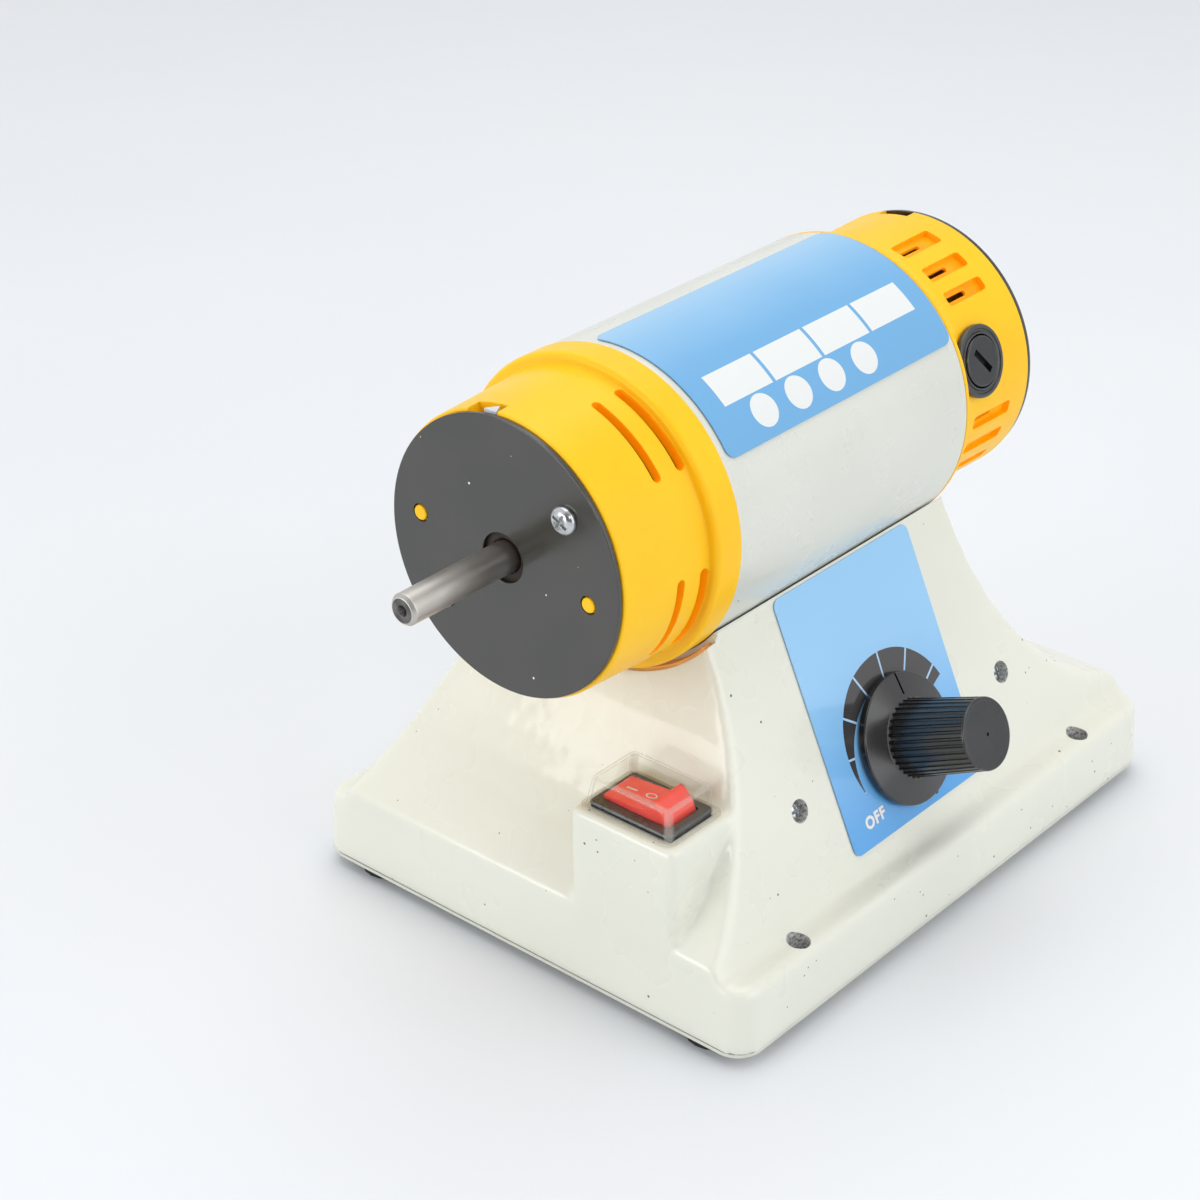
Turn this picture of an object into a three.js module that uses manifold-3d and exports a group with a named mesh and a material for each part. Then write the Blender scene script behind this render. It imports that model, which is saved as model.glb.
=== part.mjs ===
// Bench polishing lathe: a brushed motor in a round shell, seated on a hollow cast base that holds
// the speed control and a covered rocker switch.
// Millimetres, +Z up. The spindle lies along Y and its free end points to -Y.

import * as THREE from 'three';
import { mergeVertices } from 'three/addons/utils/BufferGeometryUtils.js';
import Module from 'manifold-3d';

const wasm = await Module();
wasm.setup();

// Clearances, and how finely rounds are divided
const seatGap = 0.3; // between pieces that rest on each other
const skinGap = 0.2; // between a label and what it is stuck to
const overrun = 3; // how far a cutter runs past what it cuts
const wideSides = 32;
const midSides = 18;
const smallSides = 12;
const tinySides = 8;
const arcSegments = 4;
const sliceSegments = 6;
const cornerShare = 1 - Math.SQRT1_2; // how far a round's middle lies in from its corner

// Motor tube
const axisHeight = 117.3; // spindle axis above the casting's rim
const tubeRadius = 42;
const tubeWall = 1.8;
const tubeLength = 97;

// Plastic end bells
const bellWall = 2.6;
const spigotDepth = 8; // how far each bell reaches into the tube
const bellWeb = 3; // thickness of the wall that carries the bearing
const hubWall = 2.7;
const screwBossRadius = 3.8;
const screwBossLength = 4;
const frontRimDrop = 4.2; // at the front bell's face, inside the tube's outline
const frontRootDrop = 2.8; // at its flange
const frontDepth = 38.3; // front bell's face ahead of the tube
const rimRound = 0.6;
const flangeProud = 0.3; // outside the tube
const flangeDepth = 9;
const flangeRound = 1.3;
const grooveDepth = 0.9;
const rearRootDrop = 4.4; // at the rear bell's neck
const rearRimDrop = 3.7; // at its face
const rearDepth = 35.5; // rear bell's face behind the tube
const rearRingDepth = 1.5;
const rearNeckDepth = 7;

// Cooling slots of the front bell
const slotWidth = 2.6;
const slotSetbacks = [18.7, 10.5]; // centre lines ahead of the tube
const slotSpans = [[37.5, 71.5], [-39, -4]]; // degrees from +X toward +Z
const notchSpan = [93, 108];
const notchDepth = 4;
const notchWall = 3.6;

// Vents of the rear bell
const ventAngles = [74.9, 59, 46, -9.4, -22.7, -36.5];
const ventWidths = [5.8, 4.8, 4, 4, 4, 4];
const ventStart = 11; // behind the tube
const ventLength = 16.5;
const ventPocketDepth = 1.3;
const ventSlitWidth = 1.5;
const ventSlitLength = 8.5;

// Cover discs and their screws
const discInset = 0.7; // front disc inside the bell's rim
const discThickness = 1.2;
const discBoreRadius = 6.6;
const rearDiscInset = 0.4;
const pinRadius = 2;
const pinX = 27.5;
const pinZ = -3.3;
const pinProud = 0.3;
const pinGap = 0.25;
const coverScrewX = 20.4;
const coverScrewZ = 17.1;
const coverScrewHead = 3.4;
const coverScrewHeadHeight = 1.8;
const coverScrewCrown = 2; // radius of the head's flat top
const coverScrewRim = 3.1;
const coverScrewRimRise = 1;
const coverScrewShank = 1.5;

// Spindle, bearings and rotor
const spindleRadius = 4.2;
const spindleReach = 74.5; // spindle's tip ahead of the tube
const spindleChamfer = 0.9;
const shoulderStep = 1;
const bearingRadius = 11;
const bearingWidth = 7;
const bearingRace = 2.2;
const bearingGroove = 0.5;
const coreStart = 25;
const coreLength = 46;
const airGap = 1; // between the armature and the poles
const coreSlots = 12;
const coreSlotWidth = 2.6;
const coreSlotDepth = 8.5;
const windingGap = 1.2; // inside the field coils
const windingLength = 8;
const windingRound = 3;
const commutatorStart = 100;
const commutatorLength = 19;
const commutatorRadius = 11;
const riserRadius = 12.6;
const riserLength = 2.5;
const commutatorBars = 12;
const barGap = 0.7;
const barGapDepth = 0.8;
const fanGap = 2.7; // inside the front bell
const fanLength = 18;
const fanHubWall = 3.6;
const fanPlate = 2;
const fanBlades = 8;
const bladeThickness = 1.6;

// Stator
const statorLength = 48;
const yokeThickness = 6;
const poleFaceShare = 0.6254; // bore between the poles, of the window's radius
const poleTip = 3.6;
const poleTipAngle = 30; // degrees up from the parting plane
const poleNeckAngle = 50;
const coilNearShare = 0.5841; // coil's sides and faces, of the window's radius
const coilFarShare = 0.7375;
const coilLowShare = 0.4897;
const coilHighShare = 0.649;
const coilOverhang = 6.5;

// Brushes
const brushAngle = 17.5; // degrees from +X toward +Z
const brushSetback = 13.5; // behind the tube's rear end
const holderFlangeRadius = 10;
const holderFlange = 1.7;
const holderProud = 1.1; // holder's outer face out from the bell's neck
const holderFlat = 8.3;
const holderBarrelRadius = 8.2;
const holderNozzleRadius = 6.2;
const holderNozzleEnd = 13.3;
const holderBarrelEnd = 21;
const capRadius = 7;
const capLength = 5.4;
const capProud = 0.4;
const capSlotWidth = 1.6;
const capSlotLength = 9;
const capSlotDepth = 1.5;
const capBoreDepth = 8;
const carbonWidth = 5.6;
const carbonHeight = 7.6;
const carbonShare = 0.7; // of the room between commutator and cap
const springRadius = 2.4;
const springWire = 0.32;
const springCurls = 4.5;
const springStepsPerCurl = 8;

// Labels
const labelThickness = 0.3;
const tubeLabelMargin = 2.3;
const tubeLabelLength = 93.7;
const tubeLabelSpan = [31, 100]; // degrees from +X toward +Z
const tubeLabelCorner = 3;
const labelCornerShares = [0, 0.12, 0.35, 0.65, 1];
const flankLabelStart = 24; // behind the tube's front edge
const flankLabelLength = 58.5;
const flankLabelTop = 1.2; // below the seam
const flankLabelBottom = 6.25; // above the ledge, along the flank
const flankLabelCorner = 2.5;

// Casting
const baseHalfWidth = 75;
const baseFront = 37.5; // ahead of the tube's front edge
const baseRear = 152.6; // behind the tube's front edge
const baseCorner = 8;
const baseDraft = 1;
const wallRecess = 1.15; // end walls between the corners, behind the rim
const boxProud = 0.2; // switch box ahead of the front wall
const ledgeHeight = 18.5;
const ledgeRound = 2.5;
const castWall = 4.5;
const saddleFloor = 5;
const seamAngle = -38.5; // degrees: where the flank meets the tube
const flankTilt = 65.5; // degrees from the horizontal
const flankFootRound = 4;
const shoulderRound = 5;
const footRoundShare = 0.45; // most of a low side that its foot's round takes
const shoulderShare = 0.9; // most of what is left that the shoulder takes
const saddleEdgeRound = 0.5;
const saddleFrontLip = 3; // ahead of the tube's front edge
const saddleRearLip = 101.5; // behind the tube's front edge
const scoopFootFront = 22;
const scoopFootRear = 23.7;
const flangeRecess = 2.2;
const benchHoleRadius = 3.1;
const benchHoleInset = 5.8; // from the casting's sides
const benchHoleFront = 8;
const benchHoleRear = 122.5;
const benchBossRadius = 5.8;
const motorScrewFront = 32;
const motorScrewRear = 64;
const motorScrewRadius = 2.5;
const motorScrewHead = 4.5;
const motorScrewHeadHeight = 3.6;

// Bottom plate, feet and their screws
const platePieceThickness = 1;
const plateInset = 0.7;
const footInset = 17; // from the casting's sides
const footFront = 27;
const footRear = 142;
const footRadius = 9;
const footToeRadius = 8;
const footHeight = 2.8;
const footPocketRadius = 4.2;
const footPocketDepth = 1.6;
const footScrewHead = 3.5;
const footScrewFace = 2.8;
const footScrewHeadHeight = 0.9;
const footScrewRadius = 1.75;
const footScrewReach = 12;
const footBossRadius = 5.6;

// Switch box of the casting, switch and its cover
const switchX = 34.2;
const switchSetback = 24.4; // ahead of the tube's front edge
const boxHalfWidth = 16.9;
const boxHeight = 51.3;
const boxCorner = 2;
const boxWall = 3.4;
const boxBack = 7; // ahead of the tube's front edge
const bezelHalfLength = 13.2;
const bezelHalfWidth = 8.9;
const bezelThickness = 0.9;
const bezelCorner = 1.2;
const switchBodyHalfLength = 12.9;
const switchBodyHalfWidth = 7.9;
const switchBodyDepth = 20;
const rockerWellHalfLength = 12;
const rockerWellHalfWidth = 7.2;
const rockerWellDepth = 10.5;
const rockerHalfLength = 11;
const rockerHalfWidth = 6.9;
const rockerThrow = 20; // degrees from one end to the other
const rockerPivotDrop = 1.4; // pivot below the box's top
const rockerEndRise = 5;
const rockerMiddleRise = 2.9;
const rockerKeel = 4.5;
const rockerEndDrop = 1;
const rockerEndFlat = 2;
const rockerPinRadius = 1.3;
const coverFlange = 0.5;
const coverFlangeBorder = 1;
const coverFlangeCorner = 2;
const coverWall = 0.7;
const coverHeight = 6.4; // above the box's top
const coverGap = 0.35; // round the bezel
const coverChamfer = 4;
const coverClearance = 0.6; // from the casting behind it
const terminalThickness = 0.8;
const terminalWidth = 6;
const terminalLength = 9;
const terminalSpread = 6;

// Speed control on the flank
const knobAlong = 54.5; // behind the tube's front edge
const knobDownShare = 0.6588; // below the seam, of the flank's length
const knobReach = 29.5; // knob's end out from the flank
const knobSkirtRadius = 18;
const knobSkirtBottom = 1.2;
const knobSkirtEdge = 2.4;
const knobSkirtRise = 5.2;
const knobNeckRadius = 11.6;
const knobGripRadius = 10.6;
const knobGripEndRadius = 9.5;
const knobFlutes = 20;
const knobFluteDepth = 0.7;
const knobPocketRadius = 8;
const knobPocketDepth = 3;
const potShaftRadius = 3;
const potShaftGrip = 17;
const potBodyRadius = 8.5;
const potBodyLength = 9;
const potBushRadius = 4.4;
const potBushReach = 3;
const potShaftSeat = 5;
const nutRadius = 6.4;
const nutThickness = 2.1;
const nutSides = 6;
const flankScrewAlong = [10.1, 102.4];
const flankScrewDownShare = 0.6688;
const flankHoleRadius = 3.1;
const flankHoleDepth = 3;
const flankScrewHead = 2.7;
const flankScrewFace = 2.3;
const flankScrewHeadHeight = 1.8;
const flankScrewShank = 1.4;
const bracketThickness = 1.5;
const bracketEar = 6.5;
const bracketStart = 20;
const bracketLength = 68;
const bracketDepth = 31;
const bracketDrop = 14.9; // flange below the knob's axis
const boardThickness = 1.6;
const boardMargin = 2;
const boardDepth = 26;
const capacitorRadius = 5;
const capacitorLength = 12;
const capacitorInset = 12;

// Grommet of the cord's outlet
const grommetX = -26;
const grommetHeight = 10.5;
const grommetNeck = 4.6;
const grommetFlange = 6.6;
const grommetBore = 2.6;
const grommetLip = 1.5;

// Places worked out from the sizes above
const degrees = Math.PI / 180;
const tubeInner = tubeRadius - tubeWall;
const rearEnd = tubeLength;
const frontRimRadius = tubeRadius - frontRimDrop;
const frontRootRadius = tubeRadius - frontRootDrop;
const flangeRadius = tubeRadius + flangeProud;
const rearRootRadius = tubeRadius - rearRootDrop;
const rearRimRadius = tubeRadius - rearRimDrop;
const discRadius = frontRimRadius - discInset;
const rearDiscRadius = rearRimRadius - rearDiscInset;
const holderFace = rearRootRadius + holderProud;
const carbonLength = (holderFace - capLength - commutatorRadius) * carbonShare;
const fanRadius = frontRimRadius - bellWall - fanGap;
const spigotRadius = tubeInner - seatGap;
const saddleRadius = tubeRadius + seatGap;
const saddleUnderside = saddleRadius + saddleFloor;
const seamX = tubeRadius * Math.cos(seamAngle * degrees);
const seamZ = axisHeight + tubeRadius * Math.sin(seamAngle * degrees);
const sinTilt = Math.sin(flankTilt * degrees);
const cosTilt = Math.cos(flankTilt * degrees);
const flankLength = (seamZ - ledgeHeight) / sinTilt;
const flankLabelHeight = flankLength - flankLabelTop - flankLabelBottom;
const knobDown = flankLength * knobDownShare;
const flankScrewDown = flankLength * flankScrewDownShare;
const benchHoleX = baseHalfWidth - benchHoleInset;
const footX = baseHalfWidth - footInset;
const shoulderRadius = spindleRadius + shoulderStep;
const frontDiscBack = -frontDepth - seatGap;
const rearDiscFront = rearEnd + rearDepth + seatGap;
const frontBearingStart = -frontDepth + seatGap;
const rearBearingStart = rearEnd + rearDepth - seatGap - bearingWidth;
const hubBore = bearingRadius + seatGap;
const hubLength = bearingWidth + seatGap;
const statorStart = coreStart + (coreLength - statorLength) / 2;
const statorRadius = tubeInner - seatGap;
const windowRadius = statorRadius - yokeThickness;
const coverHalfLength = bezelHalfLength + coverGap + coverWall + coverFlangeBorder;
const coverHalfWidth = bezelHalfWidth + coverGap + coverWall + coverFlangeBorder;
const poleFace = windowRadius * poleFaceShare;
const coreRadius = poleFace - airGap;
const coilNear = windowRadius * coilNearShare;
const coilFar = windowRadius * coilFarShare;
const coilLow = windowRadius * coilLowShare;
const coilHigh = windowRadius * coilHighShare;
const windingRadius = coilLow - windingGap;

function solidOf(source) {
  const bare = source.clone();
  bare.deleteAttribute('normal');
  bare.deleteAttribute('uv');
  const merged = mergeVertices(bare);
  const places = merged.getAttribute('position');
  const index = merged.getIndex().array;
  const kept = [];
  let volume = 0;
  const a = new THREE.Vector3();
  const b = new THREE.Vector3();
  const c = new THREE.Vector3();
  for (let i = 0; i < index.length; i += 3) {
    const [p, q, r] = [index[i], index[i + 1], index[i + 2]];
    if (p === q || q === r || r === p) continue;
    kept.push(p, q, r);
    a.fromBufferAttribute(places, p);
    b.fromBufferAttribute(places, q);
    c.fromBufferAttribute(places, r);
    volume += a.dot(b.cross(c));
  }
  if (volume < 0) kept.reverse();
  return new wasm.Manifold(new wasm.Mesh({
    numProp: 3,
    vertProperties: new Float32Array(places.array),
    triVerts: new Uint32Array(kept),
  }));
}

function geometryOf(solid) {
  const { vertProperties, triVerts } = solid.getMesh();
  const geometry = new THREE.BufferGeometry();
  geometry.setAttribute('position', new THREE.BufferAttribute(new Float32Array(vertProperties), 3));
  geometry.setIndex(new THREE.BufferAttribute(new Uint32Array(triVerts), 1));
  geometry.computeVertexNormals();
  return geometry;
}

const joined = (first, ...others) => others.reduce((sum, each) => sum.add(each), first);
const cut = (first, ...others) => others.reduce((rest, each) => rest.subtract(each), first);

// A closed outline of [radius, place along the axis] turned round the Y axis
function turned(outline, sides = wideSides) {
  const points = outline.map(([radius, along]) => new THREE.Vector2(radius, along));
  if (outline[0][0] > 0) points.push(points[0].clone());
  return solidOf(new THREE.LatheGeometry(points, sides));
}

// A ring, or with no inner radius a disc, round the Y axis
function ring(outer, inner, start, end, sides = wideSides) {
  const edge = [[outer, start], [outer, end]];
  return inner > 0
    ? turned([[inner, start], ...edge, [inner, end]], sides)
    : turned([[0, start], ...edge, [0, end]], sides);
}

const polygon = (points) => new THREE.Shape(points.map(([x, y]) => new THREE.Vector2(x, y)));

function extruded(shape, depth, segments = arcSegments) {
  return new THREE.ExtrudeGeometry(shape, { depth, bevelEnabled: false, curveSegments: segments });
}

// The shape's x runs along X and its y along Z
function alongY(shape, start, end, segments) {
  return solidOf(extruded(shape, end - start, segments).rotateX(Math.PI / 2).translate(0, end, 0));
}

// The shape's x runs along X and its y along Y
function alongZ(shape, start, end, segments) {
  return solidOf(extruded(shape, end - start, segments).translate(0, 0, start));
}

function roundedShape(left, bottom, right, top, corner) {
  const shape = new THREE.Shape();
  shape.moveTo(left + corner, bottom);
  shape.lineTo(right - corner, bottom);
  shape.absarc(right - corner, bottom + corner, corner, -Math.PI / 2, 0);
  shape.lineTo(right, top - corner);
  shape.absarc(right - corner, top - corner, corner, 0, Math.PI / 2);
  shape.lineTo(left + corner, top);
  shape.absarc(left + corner, top - corner, corner, Math.PI / 2, Math.PI);
  shape.lineTo(left, bottom + corner);
  shape.absarc(left + corner, bottom + corner, corner, Math.PI, Math.PI * 3 / 2);
  return shape;
}

function block(low, high) {
  const [width, depth, height] = low.map((value, i) => high[i] - value);
  const [x, y, z] = low.map((value, i) => (value + high[i]) / 2);
  return solidOf(new THREE.BoxGeometry(width, depth, height).translate(x, y, z));
}

function rod(radius, from, to, sides = smallSides) {
  const start = new THREE.Vector3(...from);
  const reach = new THREE.Vector3(...to).sub(start);
  const length = reach.length();
  const geometry = new THREE.CylinderGeometry(radius, radius, length, sides).translate(0, length / 2, 0);
  geometry.applyQuaternion(new THREE.Quaternion().setFromUnitVectors(
    new THREE.Vector3(0, 1, 0),
    reach.normalize(),
  ));
  return solidOf(geometry.translate(start.x, start.y, start.z));
}

const upright = (radius, x, y, low, high, sides) => rod(radius, [x, y, low], [x, y, high], sides);

// Angles run from +X toward +Z round the Y axis
const turnedBy = (solid, angle) => solid.rotate([0, -angle, 0]);

// A slice of a ring round the Y axis
function ringSlice(outer, inner, start, end, [fromAngle, toAngle]) {
  const shape = new THREE.Shape();
  shape.absarc(0, 0, outer, fromAngle * degrees, toAngle * degrees);
  shape.absarc(0, 0, inner, toAngle * degrees, fromAngle * degrees, true);
  return alongY(shape, start, end, sliceSegments);
}

// Rings of points joined into one closed body. The end rings are flat.
function loft(rings, flat) {
  const count = rings[0].length;
  const positions = rings.flat(2);
  const index = [];
  for (let level = 0; level + 1 < rings.length; level += 1) {
    for (let i = 0; i < count; i += 1) {
      const next = (i + 1) % count;
      const low = level * count;
      const high = low + count;
      index.push(low + i, low + next, high + next, low + i, high + next, high + i);
    }
  }
  const cap = (points) => THREE.ShapeUtils.triangulateShape(points.map(flat), []);
  const top = (rings.length - 1) * count;
  for (const [p, q, r] of cap(rings[0])) index.push(p, r, q);
  for (const [p, q, r] of cap(rings.at(-1))) index.push(top + p, top + q, top + r);
  const geometry = new THREE.BufferGeometry();
  geometry.setAttribute('position', new THREE.BufferAttribute(new Float32Array(positions), 3));
  geometry.setIndex(index);
  return solidOf(geometry);
}

const finish = (color, roughness, metalness = 0, opacity = 1) => new THREE.MeshStandardMaterial({
  color,
  roughness,
  metalness,
  opacity,
  transparent: opacity < 1,
});
const creamPaint = finish(0xe6e7dc, 0.42);
const tubePaint = finish(0xdfe2dc, 0.35, 0.2);
const yellowPlastic = finish(0xffbf24, 0.45);
const blackPaint = finish(0x2b2b2a, 0.5);
const blackPlastic = finish(0x161616, 0.3);
const labelFilm = finish(0x78aee6, 0.25);
const groundSteel = finish(0xa9a7a3, 0.3, 1);
const zinc = finish(0xc9cccd, 0.3, 1);
const bearingSteel = finish(0xb5b7b8, 0.25, 1);
const coreSteel = finish(0x6d7072, 0.5, 1);
const copper = finish(0xb4653a, 0.4, 1);
const brass = finish(0xc8a44e, 0.35, 1);
const carbon = finish(0x29292b, 0.7);
const fanPlastic = finish(0x2d3338, 0.5);
const footRubber = finish(0x1a1a1a, 0.85);
const bracketSteel = finish(0xb9bcbe, 0.4, 1);
const boardGreen = finish(0x2c6b45, 0.5);
const capacitorBlue = finish(0x2b4c86, 0.4);
const rockerRed = finish(0xe2453c, 0.25);
const clearCover = finish(0xe9edef, 0.1, 0, 0.35);

const lathe = new THREE.Group();
const motor = new THREE.Group();
motor.position.z = axisHeight;
const flank = new THREE.Group();
flank.position.set(seamX, 0, seamZ);
flank.quaternion.setFromRotationMatrix(new THREE.Matrix4().makeBasis(
  new THREE.Vector3(0, 1, 0),
  new THREE.Vector3(-cosTilt, 0, sinTilt),
  new THREE.Vector3(sinTilt, 0, cosTilt),
));
flank.updateMatrix();
lathe.add(motor, flank);

function add(group, name, solid, material) {
  const mesh = new THREE.Mesh(geometryOf(solid), material);
  mesh.name = name;
  group.add(mesh);
}

// A solid given in the flank's frame: x along the spindle, y up the flank, z out of it
const onFlank = (solid) => solid.transform(flank.matrix.elements);

function motorTube() {
  const holes = [motorScrewFront, motorScrewRear].map((y) => upright(
    motorScrewRadius + seatGap, 0, y, -tubeRadius - overrun, -tubeInner + overrun,
  ));
  return cut(ring(tubeRadius, tubeInner, seatGap, tubeLength - seatGap), ...holes);
}

function tubeLabel() {
  const inner = tubeRadius + skinGap;
  const outer = inner + labelThickness;
  const [from, to] = tubeLabelSpan.map((angle) => angle * degrees);
  const corner = tubeLabelCorner;
  const cornerSteps = labelCornerShares.map((share) => share * corner / outer);
  const flatSteps = 14;
  const angles = cornerSteps.map((step) => from + step);
  for (let i = 1; i < flatSteps; i += 1) {
    const start = from + corner / outer;
    const end = to - corner / outer;
    angles.push(start + (end - start) * i / flatSteps);
  }
  angles.push(...cornerSteps.toReversed().map((step) => to - step));
  const rings = angles.map((angle) => {
    const reach = Math.max(0, corner - outer * Math.min(angle - from, to - angle));
    const inset = corner - Math.sqrt(Math.max(0, corner ** 2 - reach ** 2));
    const start = tubeLabelMargin + inset;
    const end = tubeLabelMargin + tubeLabelLength - inset;
    const place = (radius, y) => [radius * Math.cos(angle), y, radius * Math.sin(angle)];
    return [place(inner, start), place(outer, start), place(outer, end), place(inner, end)];
  });
  return loft(rings, ([x, y, z]) => new THREE.Vector2(Math.hypot(x, z), y));
}

function discScrewPlaces() {
  return [[coverScrewX, coverScrewZ], [-coverScrewX, -coverScrewZ]];
}

function frontBell() {
  const face = -frontDepth;
  const innerRim = frontRimRadius - bellWall;
  const innerRoot = frontRootRadius - bellWall;
  const spigotInner = spigotRadius - bellWall;
  const webBack = face + bellWeb;
  const hubBack = face + hubLength;
  const body = turned([
    [hubBore, face],
    [frontRimRadius - rimRound, face],
    [frontRimRadius, face + rimRound],
    [frontRootRadius, -flangeDepth - grooveDepth],
    [frontRootRadius + grooveDepth / 2, -flangeDepth],
    [flangeRadius - flangeRound, -flangeDepth],
    [flangeRadius - flangeRound * cornerShare, -flangeDepth + flangeRound * cornerShare],
    [flangeRadius, -flangeDepth + flangeRound],
    [flangeRadius, 0],
    [spigotRadius, 0],
    [spigotRadius, spigotDepth],
    [spigotInner, spigotDepth],
    [spigotInner, 0],
    [innerRoot, -flangeDepth],
    [innerRim, webBack],
    [hubBore + hubWall, webBack],
    [hubBore + hubWall, hubBack],
    [hubBore, hubBack],
  ]);
  const pins = [1, -1].map((side) => rod(
    pinRadius,
    [side * pinX, frontDiscBack - discThickness - pinProud, side * pinZ],
    [side * pinX, face + bellWeb / 2, side * pinZ],
  ));
  const bosses = discScrewPlaces().map(([x, z]) => rod(
    screwBossRadius, [x, face + bellWeb / 2, z], [x, webBack + screwBossLength, z],
  ));
  const screwHoles = discScrewPlaces().map(([x, z]) => rod(
    coverScrewShank + seatGap, [x, face - overrun, z], [x, webBack + screwBossLength + overrun, z],
  ));
  const slots = [];
  const slotInner = innerRim - overrun;
  const slotOuter = frontRootRadius + overrun;
  for (const setback of slotSetbacks) {
    for (const span of slotSpans) {
      for (const turn of [0, 180]) {
        slots.push(turnedBy(ringSlice(
          slotOuter, slotInner, -setback - slotWidth / 2, -setback + slotWidth / 2, span,
        ), turn));
        for (const angle of span) {
          slots.push(turnedBy(
            rod(slotWidth / 2, [slotInner, -setback, 0], [slotOuter, -setback, 0], tinySides),
            angle + turn,
          ));
        }
      }
    }
  }
  const notch = ringSlice(
    frontRimRadius + overrun, frontRimRadius - notchWall, face - overrun, face + notchDepth, notchSpan,
  );
  return cut(joined(body, ...pins, ...bosses), ...screwHoles, ...slots, notch);
}

function rearBell() {
  const face = rearEnd + rearDepth;
  const innerRim = rearRimRadius - bellWall;
  const innerRoot = rearRootRadius - bellWall;
  const spigotInner = spigotRadius - bellWall;
  const webFront = face - bellWeb;
  const neck = rearNeckDepth - rearRingDepth;
  const drop = tubeRadius - rearRootRadius;
  const neckShares = [[0, 0], [0.55, 0.1], [0.85, 0.4], [1, 1]];
  const body = turned([
    [hubBore, face],
    [hubBore, face - hubLength],
    [hubBore + hubWall, face - hubLength],
    [hubBore + hubWall, webFront],
    [innerRim, webFront],
    [innerRoot, rearEnd + rearNeckDepth],
    [spigotInner, rearEnd],
    [spigotInner, rearEnd - spigotDepth],
    [spigotRadius, rearEnd - spigotDepth],
    [spigotRadius, rearEnd],
    [tubeRadius, rearEnd],
    ...neckShares.map(([dropShare, alongShare]) => [
      tubeRadius - dropShare * drop,
      rearEnd + rearRingDepth + alongShare * neck,
    ]),
    [rearRimRadius, face - rimRound],
    [rearRimRadius - rimRound, face],
  ]);
  const bosses = discScrewPlaces().map(([x, z]) => rod(
    screwBossRadius, [x, webFront - screwBossLength, z], [x, face - bellWeb / 2, z],
  ));
  const screwHoles = discScrewPlaces().map(([x, z]) => rod(
    coverScrewShank + seatGap, [x, webFront - screwBossLength - overrun, z], [x, face + overrun, z],
  ));
  const pocketStart = rearEnd + ventStart;
  const pocketFloor = rearRootRadius - ventPocketDepth;
  const outside = tubeRadius + overrun;
  const vents = [];
  ventAngles.forEach((angle, i) => {
    for (const turn of [0, 180]) {
      const halfWidth = ventWidths[i] / 2;
      vents.push(turnedBy(block(
        [pocketFloor, pocketStart, -halfWidth],
        [outside, pocketStart + ventLength, halfWidth],
      ), angle + turn));
      vents.push(turnedBy(block(
        [innerRoot - overrun, pocketStart + ventSlitWidth, -ventSlitWidth / 2],
        [outside, pocketStart + ventSlitWidth + ventSlitLength, ventSlitWidth / 2],
      ), angle + turn));
    }
  });
  const holders = [0, 180].flatMap((turn) => {
    const y = rearEnd + brushSetback;
    const seat = holderFace - holderFlange - seatGap;
    return [
      rod(holderBarrelRadius + seatGap, [innerRoot - overrun, y, 0], [outside, y, 0], midSides),
      rod(holderFlangeRadius + seatGap, [seat, y, 0], [outside, y, 0], midSides),
    ].map((cutter) => turnedBy(cutter, brushAngle + turn));
  });
  const notch = ringSlice(
    rearRimRadius + overrun, rearRimRadius - notchWall, face - notchDepth, face + overrun, notchSpan,
  );
  return cut(joined(body, ...bosses), ...screwHoles, ...vents, ...holders, notch);
}

function coverDisc(radius, bore, start, withPins) {
  const end = start + discThickness;
  const screwHoles = discScrewPlaces().map(([x, z]) => rod(
    coverScrewShank + seatGap, [x, start - overrun, z], [x, end + overrun, z],
  ));
  const pinHoles = [1, -1].map((side) => rod(
    pinRadius + pinGap,
    [side * pinX, start - overrun, side * pinZ],
    [side * pinX, end + overrun, side * pinZ],
  ));
  return cut(ring(radius, bore, start, end), ...screwHoles, ...(withPins ? pinHoles : []));
}

// A pan-head screw whose head lies at headBase and whose shank ends at tip, both along Y
function coverScrew([x, z], headBase, tip) {
  const outward = Math.sign(headBase - tip);
  const crown = headBase + outward * coverScrewHeadHeight;
  const rim = headBase + outward * coverScrewRimRise;
  return turned([
    [0, crown],
    [coverScrewCrown, crown],
    [coverScrewRim, rim],
    [coverScrewHead, headBase],
    [coverScrewShank, headBase],
    [coverScrewShank, tip],
    [0, tip],
  ], smallSides).translate([x, 0, z]);
}

function spindleShaft() {
  const frontShoulder = frontBearingStart + bearingWidth + seatGap;
  const rearShoulder = rearBearingStart - seatGap;
  const rearTip = rearEnd + rearDepth - seatGap;
  return turned([
    [0, -spindleReach],
    [spindleRadius - spindleChamfer, -spindleReach],
    [spindleRadius, -spindleReach + spindleChamfer],
    [spindleRadius, frontShoulder],
    [shoulderRadius, frontShoulder],
    [shoulderRadius, rearShoulder],
    [spindleRadius, rearShoulder],
    [spindleRadius, rearTip],
    [0, rearTip],
  ], midSides);
}

function bearing(start) {
  const end = start + bearingWidth;
  const bore = spindleRadius + seatGap;
  const innerRace = bore + bearingRace;
  const outerRace = bearingRadius - bearingRace;
  return turned([
    [bore, start],
    [innerRace, start],
    [innerRace, start + bearingGroove],
    [outerRace, start + bearingGroove],
    [outerRace, start],
    [bearingRadius, start],
    [bearingRadius, end],
    [outerRace, end],
    [outerRace, end - bearingGroove],
    [innerRace, end - bearingGroove],
    [innerRace, end],
    [bore, end],
  ], midSides);
}

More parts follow.
